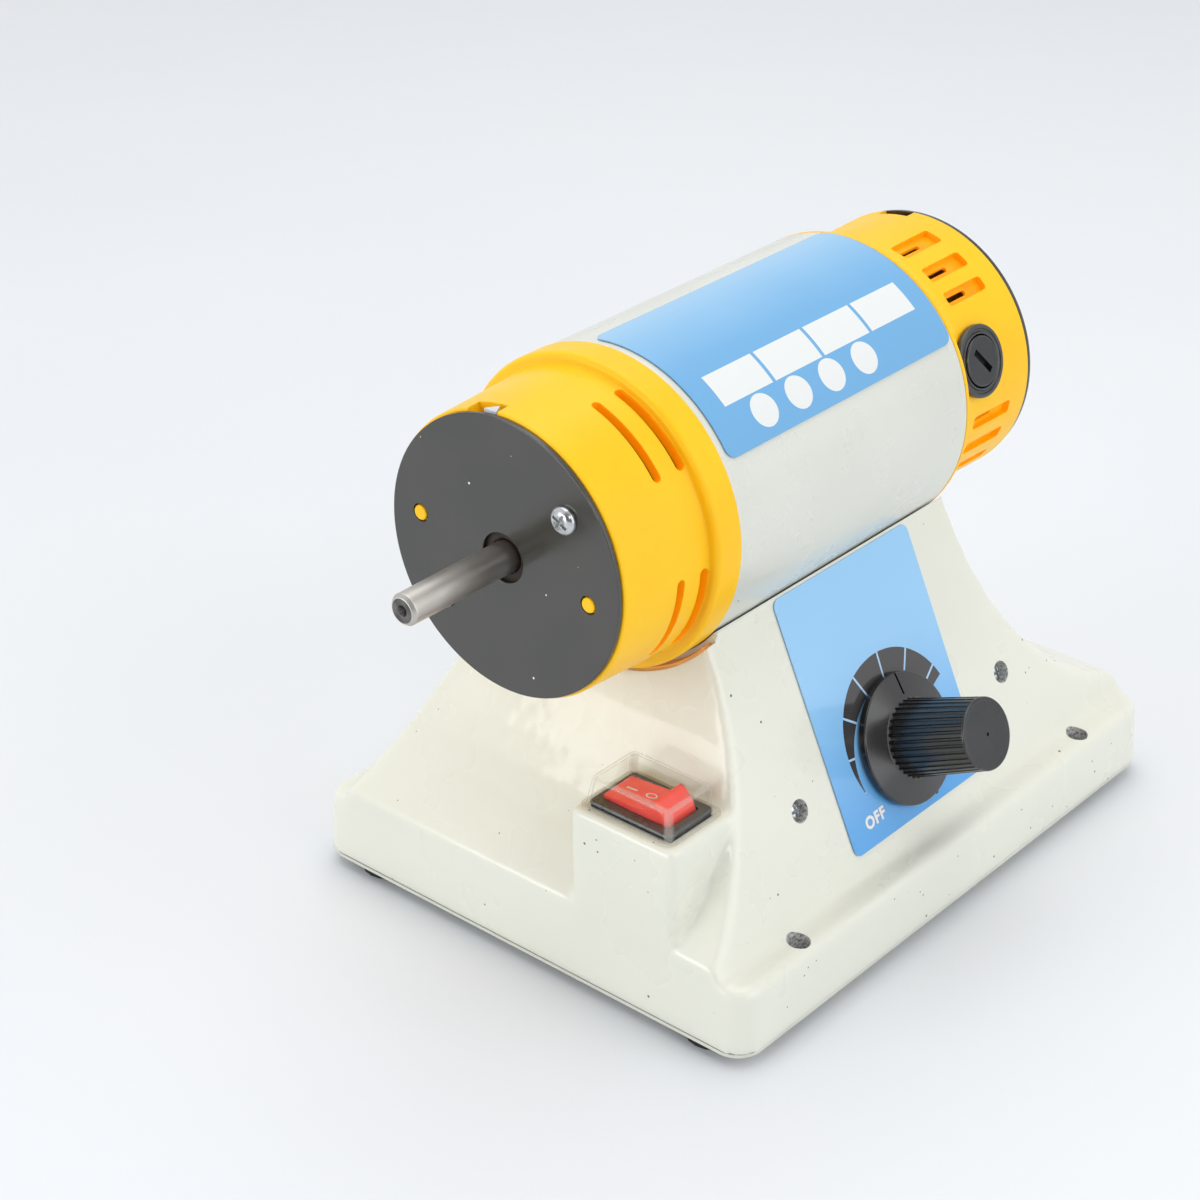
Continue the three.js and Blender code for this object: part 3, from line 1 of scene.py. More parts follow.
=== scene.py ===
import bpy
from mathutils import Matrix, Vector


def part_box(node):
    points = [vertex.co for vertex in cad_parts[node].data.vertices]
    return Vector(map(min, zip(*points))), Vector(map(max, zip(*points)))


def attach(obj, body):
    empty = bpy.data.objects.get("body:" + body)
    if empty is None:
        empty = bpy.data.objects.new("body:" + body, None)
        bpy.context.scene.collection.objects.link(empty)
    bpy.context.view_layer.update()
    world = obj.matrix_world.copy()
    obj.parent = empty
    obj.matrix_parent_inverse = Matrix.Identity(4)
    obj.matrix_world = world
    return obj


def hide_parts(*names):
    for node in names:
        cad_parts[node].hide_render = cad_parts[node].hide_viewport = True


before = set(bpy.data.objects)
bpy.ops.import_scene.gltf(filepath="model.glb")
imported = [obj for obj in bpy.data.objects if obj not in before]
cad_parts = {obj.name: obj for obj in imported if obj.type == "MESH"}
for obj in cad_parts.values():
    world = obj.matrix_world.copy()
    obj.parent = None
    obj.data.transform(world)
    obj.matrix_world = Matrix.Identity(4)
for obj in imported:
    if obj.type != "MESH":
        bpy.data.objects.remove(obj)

"""Bench polishing lathe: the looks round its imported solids.

Lengths are millimetres in the lathe's own frame. The spindle lies along Y, 117.3 above the
casting's rim, the motor tube starts at y = 0 and the speed knob is on the +X side.
"""

import logging
import math
from collections.abc import Callable, Iterable, Sequence
from dataclasses import dataclass, field
from enum import Enum

import bmesh
import bpy
from mathutils import Matrix, Vector

LOG = logging.getLogger("polishing_lathe")
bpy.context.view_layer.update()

AXIS_HEIGHT = 117.3
SEAT_GAP = 0.3
TUBE_RADIUS = 42.0
TUBE_LENGTH = 97.0
SEAM = Vector((32.8695, 0.0, 91.1541))
FLANK_TILT = math.radians(65.5)

# Places that several pieces share
DIAL = (54.5, 52.6)
FLANK_HOLES = ((10.1, 53.4), (102.4, 53.4))
SWITCH_SEAT = (34.2, -24.4, 51.3)
FRONT_FACE = -39.8
DISC_PIN = (27.5, -3.3)
BRUSH_ANGLE = 17.5
BRUSH_BACK = 110.5
NOTCH_SPAN = (93.0, 108.0)

# How much of a noise's range the clouds of colour and of wear use
CLOUD_SPAN = (0.35, 0.68)
WORN_SPAN = (0.3, 0.7)

Flat = tuple[float, float]
Point = tuple[float, float, float]
Color = tuple[float, float, float]


class Body(Enum):
    """The moving bodies that a piece can ride on."""

    BASE = "base"
    SPINDLE = "spindle"
    KNOB = "speed_control"
    ROCKER = "rocker"


class Way(Enum):
    """How one solid acts on another."""

    CUT = "DIFFERENCE"
    JOIN = "UNION"


def shade(red: int, green: int, blue: int) -> Color:
    """A screen colour as linear light.

    Args:
        red: The red channel, 0 to 255.
        green: The green channel.
        blue: The blue channel.

    Returns:
        The three channels, 0 to 1.
    """
    def linear(value: int) -> float:
        """One channel as linear light."""
        share = value / 255
        return share / 12.92 if share <= 0.04045 else ((share + 0.055) / 1.055) ** 2.4
    return linear(red), linear(green), linear(blue)


def lathe_to_frame() -> Matrix:
    """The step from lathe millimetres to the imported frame's metres.

    Returns:
        The matrix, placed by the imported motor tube.
    """
    low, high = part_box("motor_tube")
    middle = (low + high) / 2
    place = (middle.x, low.y - SEAT_GAP / 1000, middle.z - AXIS_HEIGHT / 1000)
    return Matrix.Translation(place) @ Matrix.Scale(0.001, 4)


TO_FRAME = lathe_to_frame()
ON_AXIS = Matrix.Translation((0, 0, AXIS_HEIGHT))
Y_TO_X = Matrix.Rotation(math.radians(-90), 4, "Z")
Y_TO_Z = Matrix.Rotation(math.radians(90), 4, "X")


def swing(angle: float) -> Matrix:
    """A turn round the Y axis by so many degrees, from +X toward +Z."""
    return Matrix.Rotation(-math.radians(angle), 4, "Y")


def flank_place(along: float, down: float, out: float = 0.0) -> Matrix:
    """A place on the casting's right flank: x along the spindle, y up the flank, z out of it.

    Args:
        along: Distance behind the tube's front edge.
        down: Distance below the seam, along the flank.
        out: Distance out of the flank.

    Returns:
        The matrix that takes the flank's frame there.
    """
    sine, cosine = math.sin(FLANK_TILT), math.cos(FLANK_TILT)
    turn = Matrix(((0, -cosine, sine, SEAM.x), (1, 0, 0, 0), (0, sine, cosine, SEAM.z), (0, 0, 0, 1)))
    return turn @ Matrix.Translation((along, -down, out))


# Finishes


class NodeBench:
    """Adds shader nodes to one material and links them."""

    def __init__(self, name: str) -> None:
        """Starts a material with its Principled shader.

        Args:
            name: The material's name.
        """
        self.material = bpy.data.materials.new(name)
        self.material.use_nodes = True
        self.tree = self.material.node_tree
        self.shader = self.tree.nodes["Principled BSDF"]

    def add(self, kind: str, inputs: dict[str | int, object] | None = None,
            **settings: object) -> bpy.types.Node:
        """Adds a node.

        Args:
            kind: The node's type, without its ShaderNode prefix.
            inputs: A number, colour or linked socket for each input, by name or place.
            **settings: The node's own properties.

        Returns:
            The new node.
        """
        node = self.tree.nodes.new("ShaderNode" + kind)
        for key, value in settings.items():
            setattr(node, key, value)
        for key, value in (inputs or {}).items():
            self.feed(node.inputs[key], value)
        return node

    def feed(self, socket: bpy.types.NodeSocket, value: object) -> None:
        """Links a socket to another, or sets its number or colour.

        Args:
            socket: The socket that is fed.
            value: An output socket, a number, a vector or a colour.
        """
        if isinstance(value, bpy.types.NodeSocket):
            self.tree.links.new(value, socket)
        elif isinstance(value, tuple) and len(value) == 3 and socket.type == "RGBA":
            socket.default_value = (*value, 1.0)
        else:
            socket.default_value = value

    def math(self, operation: str, *values: object) -> bpy.types.NodeSocket:
        """The result of a Math node."""
        return self.add("Math", dict(enumerate(values)), operation=operation).outputs[0]

    def length(self, across: object, up: object) -> bpy.types.NodeSocket:
        """The length of a flat step."""
        squares = [self.math("MULTIPLY", value, value) for value in (across, up)]
        return self.math("SQRT", self.math("ADD", *squares))

    def within(self, value: object, low: float, high: float) -> bpy.types.NodeSocket:
        """One where a value lies between two bounds."""
        above = self.math("GREATER_THAN", value, low)
        return self.math("MULTIPLY", above, self.math("LESS_THAN", value, high))

    def off_mark(self, value: object, first: float, period: float) -> bpy.types.NodeSocket:
        """How far a value lies past the nearest of evenly spaced marks.

        Args:
            value: The value.
            first: The first mark.
            period: The step from one mark to the next.

        Returns:
            The signed distance.
        """
        half = period / 2
        start = self.math("SUBTRACT", value, first - half)
        return self.math("SUBTRACT", self.math("MODULO", start, period), half)

    def blend(self, share: object, first: object, second: object) -> bpy.types.NodeSocket:
        """Mixes two colours.

        Args:
            share: The second colour's share.
            first: The first colour.
            second: The second colour.

        Returns:
            The mixed colour.
        """
        node = self.add("Mix", data_type="RGBA")
        for socket, value in zip((node.inputs[0], node.inputs[6], node.inputs[7]), (share, first, second)):
            self.feed(socket, value)
        return node.outputs[2]

    def ramp(self, value: object, low: float, high: float, start: float = 0.0, end: float = 1.0,
             smooth: bool = True) -> bpy.types.NodeSocket:
        """Carries a value from one span to another and holds it there.

        Args:
            value: The value.
            low: The first span's start.
            high: The first span's end.
            start: The second span's start.
            end: The second span's end.
            smooth: Whether it eases in and out.

        Returns:
            The carried value.
        """
        kind = "SMOOTHSTEP" if smooth else "LINEAR"
        inputs = {"Value": value, "From Min": low, "From Max": high, "To Min": start, "To Max": end}
        return self.add("MapRange", inputs, interpolation_type=kind).outputs[0]

    def place(self, stretch: Point = (1, 1, 1)) -> bpy.types.NodeSocket:
        """Object coordinates, stretched."""
        source = self.add("TexCoord").outputs["Object"]
        return self.add("Mapping", {"Vector": source, "Scale": stretch}).outputs[0]

    def noise(self, scale: float, detail: float = 2.0, stretch: Point = (1, 1, 1)) -> bpy.types.NodeSocket:
        """Soft noise at so many periods a metre."""
        inputs = {"Vector": self.place(stretch), "Scale": scale, "Detail": detail}
        return self.add("TexNoise", inputs).outputs[0]

    def specks(self, scale: float, size: float, share: float) -> bpy.types.NodeSocket:
        """A mask of small scattered specks.

        Args:
            scale: Cells a metre.
            size: A speck's radius as a share of its cell.
            share: Share of the cells that hold one.

        Returns:
            One on a speck and zero off it.
        """
        cells = self.add("TexVoronoi", {"Vector": self.place(), "Scale": scale, "Randomness": 1.0})
        kept = self.add("SeparateColor", {"Color": cells.outputs["Color"]}).outputs[0]
        grown = self.ramp(kept, 1 - share, 1.0, 0.0, size, smooth=False)
        return self.math("LESS_THAN", cells.outputs["Distance"], grown)


@dataclass(frozen=True)
class Finish:
    """A surface: its colour, gloss, mottling, specks, grain, eased edges and any painted glow."""

    name: str
    color: Color
    roughness: float
    metallic: float = 0.0
    mottle: Color | None = None
    mottle_scale: float = 60.0
    mottle_detail: float = 4.0
    speck: Color | None = None
    speck_scale: float = 120.0
    speck_size: float = 0.12
    speck_share: float = 0.1
    roughness_spread: float = 0.05
    grain_scale: float = 900.0
    grain_height: float = 0.00001
    wave_scale: float = 90.0
    wave_height: float = 0.0
    stretch: Point = (1, 1, 1)
    edge: float = 0.0002
    coat: float = 0.0
    coat_roughness: float = 0.06
    subsurface: float = 0.0
    subsurface_depth: float = 0.002
    anisotropy: float = 0.0
    specular: float = 0.5
    ior: float = 1.5
    # Painted glow: how strongly the finish gives off its own colour as light, though no piece is a lamp.
    painted_glow: float = 0.0
    turned: bool = False

    def title(self) -> str:
        """The material's name, which no packed material has."""
        return f"{self.name}_finish"

    def material(self) -> bpy.types.Material:
        """The finish as a material, made at the first call."""
        return bpy.data.materials.get(self.title()) or self.make()

    def make(self) -> bpy.types.Material:
        """Builds the material.

        Returns:
            The new material.
        """
        bench = NodeBench(self.title())
        sockets = bench.shader.inputs
        bench.feed(sockets["Base Color"], self.paint(bench))
        sockets["Metallic"].default_value = self.metallic
        sockets["Coat Weight"].default_value = self.coat
        sockets["Coat Roughness"].default_value = self.coat_roughness
        sockets["Subsurface Weight"].default_value = self.subsurface
        sockets["Subsurface Scale"].default_value = self.subsurface_depth
        sockets["Anisotropic"].default_value = self.anisotropy
        sockets["Specular IOR Level"].default_value = self.specular
        sockets["IOR"].default_value = self.ior
        if self.turned:
            grain = bench.add("Tangent", direction_type="RADIAL", axis="Y")
            bench.feed(sockets["Tangent"], grain.outputs[0])
        # Painted glow: the finish's own colour given off as light.
        sockets["Emission Color"].default_value = (*self.color, 1.0)
        sockets["Emission Strength"].default_value = self.painted_glow
        worn = bench.noise(self.grain_scale / 12, 3.0, self.stretch)
        low, high = self.roughness - self.roughness_spread, self.roughness + self.roughness_spread
        bench.feed(sockets["Roughness"], bench.ramp(worn, *WORN_SPAN, max(low, 0.02), high))
        relief = self.relief(bench)
        bench.feed(sockets["Normal"], relief)
        bench.feed(sockets["Coat Normal"], relief)
        return bench.material

    def paint(self, bench: NodeBench) -> object:
        """The colour: one shade, mottled and speckled.

        Args:
            bench: The material's nodes.

        Returns:
            A colour, or the socket that gives it.
        """
        color: object = self.color
        if self.mottle:
            cloud = bench.noise(self.mottle_scale, self.mottle_detail, self.stretch)
            color = bench.blend(bench.ramp(cloud, *CLOUD_SPAN), color, self.mottle)
        if self.speck:
            mask = bench.specks(self.speck_scale, self.speck_size, self.speck_share)
            color = bench.blend(mask, color, self.speck)
        return color

    def relief(self, bench: NodeBench) -> bpy.types.NodeSocket:
        """The surface's small relief over edges that are eased a little.

        Args:
            bench: The material's nodes.

        Returns:
            The normal.
        """
        normal = bench.add("Bevel", {"Radius": self.edge}, samples=4).outputs[0]
        if self.wave_height:
            waves = bench.noise(self.wave_scale, 1.0)
            inputs = {"Height": waves, "Distance": self.wave_height, "Normal": normal}
            normal = bench.add("Bump", inputs).outputs[0]
        grain = bench.noise(self.grain_scale, 3.0, self.stretch)
        inputs = {"Height": grain, "Distance": self.grain_height, "Normal": normal}
        return bench.add("Bump", inputs).outputs[0]


@dataclass(frozen=True)
class PrintedFilm(Finish):
    """A glossy label film whose print follows the piece's own UV map, in metres on the film."""

    # Painted reflection: the film turns toward this paler blue up its height, over a wobbly line.
    pale: Color = shade(138, 190, 228)
    print_color: Color = shade(226, 229, 228)
    fade_from: float = 0.0
    fade_to: float = 0.05
    fade_wobble: float = 12.0
    fade_scale: float = 26.0

    def plan(self, bench: NodeBench) -> tuple[bpy.types.NodeSocket, bpy.types.NodeSocket]:
        """The place on the film, in millimetres."""
        split = bench.add("SeparateXYZ", {"Vector": bench.add("UVMap", uv_map="film").outputs[0]})
        return tuple(bench.math("MULTIPLY", split.outputs[i], 1000.0) for i in (0, 1))

    def ground(self, bench: NodeBench, up: object) -> bpy.types.NodeSocket:
        """The film's blue, paler toward its top: a painted reflection of the bright room.

        Args:
            bench: The material's nodes.
            up: The place up the film.

        Returns:
            The colour.
        """
        cloud = bench.math("SUBTRACT", bench.noise(self.fade_scale, 1.0), 0.5)
        height = bench.math("ADD", up, bench.math("MULTIPLY", cloud, self.fade_wobble))
        return bench.blend(bench.ramp(height, self.fade_from, self.fade_to), self.color, self.pale)


@dataclass(frozen=True)
class MotorFilm(PrintedFilm):
    """The tube's label: a row of bare boxes above a row of bare discs."""

    boxes: int = 4
    box_low: float = 12.2
    box_high: float = 21.6
    box_start: float = 7.4
    box_length: float = 19.0
    box_period: float = 20.2
    discs: int = 4
    disc_height: float = 7.1
    disc_start: float = 18.6
    disc_period: float = 13.8
    disc_radius: float = 4.5

    def paint(self, bench: NodeBench) -> object:
        """The blue film with its boxes and discs.

        Args:
            bench: The material's nodes.

        Returns:
            The colour's socket.
        """
        along, around = self.plan(bench)
        step = bench.math("MODULO", bench.math("SUBTRACT", along, self.box_start), self.box_period)
        row = bench.within(along, self.box_start, self.box_start + self.boxes * self.box_period - 1)
        box = bench.math("MULTIPLY", bench.math("LESS_THAN", step, self.box_length), row)
        box = bench.math("MULTIPLY", box, bench.within(around, self.box_low, self.box_high))
        half = self.disc_period / 2
        offset = bench.off_mark(along, self.disc_start, self.disc_period)
        distance = bench.length(offset, bench.math("SUBTRACT", around, self.disc_height))
        last = self.disc_start + (self.discs - 1) * self.disc_period
        row = bench.within(along, self.disc_start - half, last + half)
        disc = bench.math("MULTIPLY", bench.math("LESS_THAN", distance, self.disc_radius), row)
        return bench.blend(bench.math("MAXIMUM", box, disc), self.ground(bench, around), self.print_color)


@dataclass(frozen=True)
class SpeedFilm(PrintedFilm):
    """The flank's label: a tapering dark band round the knob, with a line at each step."""

    band_color: Color = shade(62, 60, 61)
    band_outer: float = 24.5
    band_inner: float = 17.2
    band_narrow: float = 20.7
    band_start: float = 22.0
    band_taper: float = 110.0
    band_end: float = 202.0
    outer_over: float = 14.0
    inner_over: float = 6.0
    line_first: float = 31.0
    line_step: float = 28.2
    line_width: float = 0.62
    line_color: Color = shade(170, 208, 242)

    def paint(self, bench: NodeBench) -> object:
        """The blue film with its dial band.

        Args:
            bench: The material's nodes.

        Returns:
            The colour's socket.
        """
        across, up = self.plan(bench)
        radius = bench.length(across, up)
        angle = bench.math("DEGREES", bench.math("ARCTAN2", up, across))
        angle = bench.math("MODULO", bench.math("ADD", angle, 360.0), 360.0)
        outer_end, inner_end = self.band_end + self.outer_over, self.band_end + self.inner_over
        outer = bench.ramp(angle, self.band_taper, outer_end, self.band_outer, self.band_narrow)
        inner = bench.ramp(angle, self.band_taper, inner_end, self.band_inner, self.band_narrow)
        band = bench.math("MULTIPLY", bench.math("LESS_THAN", radius, outer),
                          bench.math("GREATER_THAN", radius, inner))
        band = bench.math("MULTIPLY", band, bench.within(angle, self.band_start, self.band_end))
        off = bench.math("ABSOLUTE", bench.off_mark(angle, self.line_first, self.line_step))
        reach = bench.math("MULTIPLY", bench.math("RADIANS", off), radius)
        line = bench.math("LESS_THAN", reach, self.line_width / 2)
        dark = bench.blend(line, self.band_color, self.line_color)
        return bench.blend(band, self.ground(bench, up), dark)


@dataclass(frozen=True)
class ClearPlastic(Finish):
    """Clear moulded plastic: see-through and glossy, with so much body of its own grey; on the rounded edges
    that grey body is painted light and shade for what refraction shows there.
    """

    body: float = 0.0
    tint: Color = (0.99, 0.99, 0.985)
    sheen_low: float = 0.008
    sheen_high: float = 0.3
    most: float = 0.9

    def make(self) -> bpy.types.Material:
        """Builds the material.

        Returns:
            The new material.
        """
        bench = NodeBench(self.title())
        sockets = bench.shader.inputs
        sockets["Base Color"].default_value = (*self.color, 1.0)
        sockets["Roughness"].default_value = self.roughness
        bench.feed(sockets["Normal"], self.relief(bench))
        clear = bench.add("BsdfTransparent", {"Color": self.tint})
        facing = bench.add("LayerWeight", {"Blend": 0.5}).outputs["Facing"]
        sheen = bench.ramp(facing, 0.5, 1.0, self.sheen_low, self.sheen_high)
        share = bench.math("MINIMUM", bench.math("ADD", sheen, self.body), self.most)
        mixed = bench.add("MixShader", {0: share, 1: clear.outputs[0], 2: bench.shader.outputs[0]})
        bench.feed(bench.tree.nodes["Material Output"].inputs["Surface"], mixed.outputs[0])
        return bench.material


@dataclass(frozen=True)
class WoundWire(Finish):
    """Enamelled wire laid in turns, as fine ridges."""

    pitch: float = 0.0009
    ridge: float = 0.0002

    def relief(self, bench: NodeBench) -> bpy.types.NodeSocket:
        """Ridges along the winding.

        Args:
            bench: The material's nodes.

        Returns:
            The normal.
        """
        inputs = {"Vector": bench.place(), "Scale": 1 / self.pitch / 20, "Distortion": 0.6}
        ridges = bench.add("TexWave", inputs, bands_direction="DIAGONAL").outputs[1]
        return bench.add("Bump", {"Height": ridges, "Distance": self.ridge}).outputs[0]


CREAM_PAINT = Finish(
    "cream_paint", shade(227, 228, 215), 0.3, mottle=shade(224, 225, 212), mottle_scale=24, mottle_detail=0.0,
    speck=shade(96, 94, 84), speck_scale=230, speck_size=0.09, speck_share=0.4,
    wave_scale=120, wave_height=0.00016, grain_scale=500, grain_height=0.000012, edge=0.0004, coat=0.5,
)
RAW_CASTING = Finish(
    "raw_casting", shade(226, 227, 224), 0.6, mottle=shade(128, 128, 129), mottle_scale=1400,
    speck=shade(236, 237, 234), speck_scale=1500, speck_size=0.3, speck_share=0.3,
    grain_height=0.00012, edge=0.0001,
)
# Orange-brown with a painted glow: the yellow bell's reflection in the saddle's glossy cream paint, painted
# as colour.
SADDLE_REFLECTION_PAINT = Finish("saddle_painted_reflection", shade(226, 158, 70), 0.35, mottle=shade(206, 136, 56), painted_glow=0.1)
TUBE_PAINT = Finish(
    "tube_paint", shade(217, 219, 210), 0.3, metallic=0.1,
    mottle=shade(214, 216, 207), mottle_scale=30, mottle_detail=0.0,
    speck=shade(90, 90, 84), speck_scale=210, speck_size=0.09, speck_share=0.35,
    wave_height=0.00012, grain_height=0.000008, edge=0.0003, coat=0.15,
)
YELLOW_PLASTIC = Finish(
    "yellow_plastic", shade(255, 199, 18), 0.36, mottle=shade(255, 194, 13), mottle_scale=40,
    roughness_spread=0.04, grain_scale=1400, grain_height=0.000006, edge=0.0005,
    subsurface=0.15, specular=0.3,
)
# Slot walls and vent pockets: a deeper orange with a painted glow, for the light that the thin yellow walls
# let through and bounce inside.
YELLOW_PAINTED_GLOW = Finish(
    "yellow_painted_glow", shade(255, 158, 0), 0.45, mottle=shade(255, 166, 4), mottle_scale=200,
    edge=0.0003, subsurface=0.3, specular=0.2, painted_glow=0.22,
)
# Dark brown ring in the front bore: partly the brown seal seen there, partly painted shade for the dark bore.
SEAL_AND_SHADE_BROWN = Finish(
    "seal_and_shade_brown", shade(54, 34, 20), 0.6, mottle=shade(30, 20, 13), mottle_scale=500, grain_height=0.00004,
)
# Pale wedge colour: painted light, the bright room seen through the notch in the front bell's rim.
NOTCH_PAINTED_LIGHT = Finish("notch_painted_light", shade(214, 215, 220), 0.4, mottle=shade(196, 198, 204), mottle_scale=300)
DISC_PAINT = Finish(
    "disc_paint", shade(34, 32, 22), 0.22, mottle=shade(26, 24, 16),
    speck=shade(225, 225, 220), speck_scale=200, speck_size=0.1, speck_share=0.5,
    grain_scale=1200, edge=0.00025, specular=0.9, ior=1.56,
)
PLATE_PAINT = Finish(
    "plate_paint", shade(214, 215, 204), 0.4, mottle=shade(204, 205, 194), grain_height=0.00002,
)
GROUND_STEEL = Finish(
    "ground_steel", shade(208, 204, 198), 0.4, metallic=1.0, mottle=shade(188, 184, 178),
    roughness_spread=0.03, grain_height=0.000003, edge=0.00015, anisotropy=0.4, turned=True,
)
TURNED_END = Finish(
    "turned_end", shade(116, 114, 112), 0.42, metallic=1.0, mottle=shade(88, 86, 84), mottle_scale=260,
    grain_height=0.00004,
)
ZINC = Finish(
    "zinc_plate", shade(206, 209, 210), 0.24, metallic=1.0, mottle=shade(188, 191, 194), mottle_scale=500,
    grain_scale=1600, edge=0.00025,
)
# Dark brown: painted shade for the dark bores that the bearings sit in.
BEARING_PAINTED_SHADE = Finish(
    "bearing_steel", shade(74, 60, 50), 0.5, metallic=0.5, mottle=shade(40, 32, 27), mottle_scale=500,
)
CORE_STEEL = Finish(
    "core_steel", shade(128, 131, 134), 0.45, metallic=1.0, mottle=shade(108, 110, 112),
    stretch=(1, 30, 1), grain_scale=200, grain_height=0.00004,
)
COPPER_WIRE = WoundWire(
    "copper_wire", shade(196, 112, 62), 0.32, metallic=1.0, mottle=shade(168, 88, 46), mottle_scale=200,
)
COPPER_BAR = Finish(
    "copper_bar", shade(204, 128, 84), 0.28, metallic=1.0, mottle=shade(176, 98, 60), mottle_scale=400,
    stretch=(1, 12, 1),
)
BRASS = Finish("brass", shade(208, 176, 92), 0.3, metallic=1.0, mottle=shade(184, 150, 72), mottle_scale=400)
CARBON = Finish("carbon", shade(46, 46, 48), 0.6, mottle=shade(34, 34, 36), grain_height=0.00003)
FAN_PLASTIC = Finish("fan_plastic", shade(54, 60, 66), 0.45, mottle=shade(48, 54, 60))
BRUSH_PLASTIC = Finish(
    "brush_plastic", shade(44, 44, 44), 0.3, mottle=shade(36, 36, 36), mottle_scale=120,
    edge=0.0003, specular=0.9,
)
KNOB_PLASTIC = Finish(
    "knob_plastic", shade(26, 26, 28), 0.22, mottle=shade(20, 20, 22), mottle_scale=90,
    speck=shade(120, 120, 118), speck_scale=420, speck_size=0.06, speck_share=0.06,
    grain_height=0.000012, wave_scale=160, wave_height=0.00003, edge=0.00015, specular=0.7, ior=1.56,
)
BEZEL_PLASTIC = Finish(
    "bezel_plastic", shade(66, 66, 65), 0.32, mottle=shade(58, 58, 57), mottle_scale=200,
    speck=shade(210, 210, 208), speck_scale=500, speck_size=0.07, speck_share=0.06,
    specular=0.8, ior=1.55,
)
FOOT_RUBBER = Finish("foot_rubber", shade(36, 36, 35), 0.8, mottle=shade(28, 28, 27), grain_height=0.00004)
BRACKET_STEEL = Finish(
    "bracket_steel", shade(188, 191, 193), 0.36, metallic=1.0, mottle=shade(170, 174, 178), mottle_scale=200,
)
BOARD_GREEN = Finish("board_green", shade(44, 108, 68), 0.42, mottle=shade(34, 92, 56), mottle_scale=300)
CAPACITOR_BLUE = Finish("capacitor_blue", shade(44, 78, 138), 0.34, mottle=shade(38, 68, 122))
ROCKER_RED = Finish(
    "rocker_red", shade(254, 92, 80), 0.24, mottle=shade(250, 84, 72), mottle_scale=150,
    grain_height=0.000006, edge=0.0004, subsurface=0.3, coat=0.3,
)
MARK_WHITE = Finish(
    "mark_white", shade(240, 238, 234), 0.4, mottle=shade(230, 228, 224), grain_height=0.000004,
)
CLEAR_COVER = ClearPlastic("clear_cover", shade(190, 188, 184), 0.07, grain_height=0.000003, edge=0.0001)
# Rounded edges and flange: more whitish grey body, painted light and shade for what refraction shows in thick
# clear edges.
CLEAR_PAINTED_REFRACTION = ClearPlastic(
    "clear_painted_refraction", shade(212, 208, 200), 0.07, grain_height=0.000003, edge=0.0001, body=0.17,
)
# Both films grow paler toward their tops: a painted reflection of the bright room.
MOTOR_FILM = MotorFilm(
    "motor_film", shade(104, 168, 216), 0.2, coat=0.4, fade_from=20.0, fade_to=52.0,
    grain_height=0.000004, wave_scale=40, wave_height=0.00004, edge=0.0001,
)
SPEED_FILM = SpeedFilm(
    "speed_film", shade(80, 160, 226), 0.14, coat=0.5, fade_from=-30.0, fade_to=30.0,
    grain_height=0.000004, wave_scale=40, wave_height=0.00003, edge=0.0001, pale=shade(150, 202, 242),
)
FLOOR_PAINT = Finish(
    "floor_paint", shade(226, 229, 232), 0.6, mottle=shade(224, 227, 231), mottle_scale=3, grain_height=0.0,
)


# Shaping


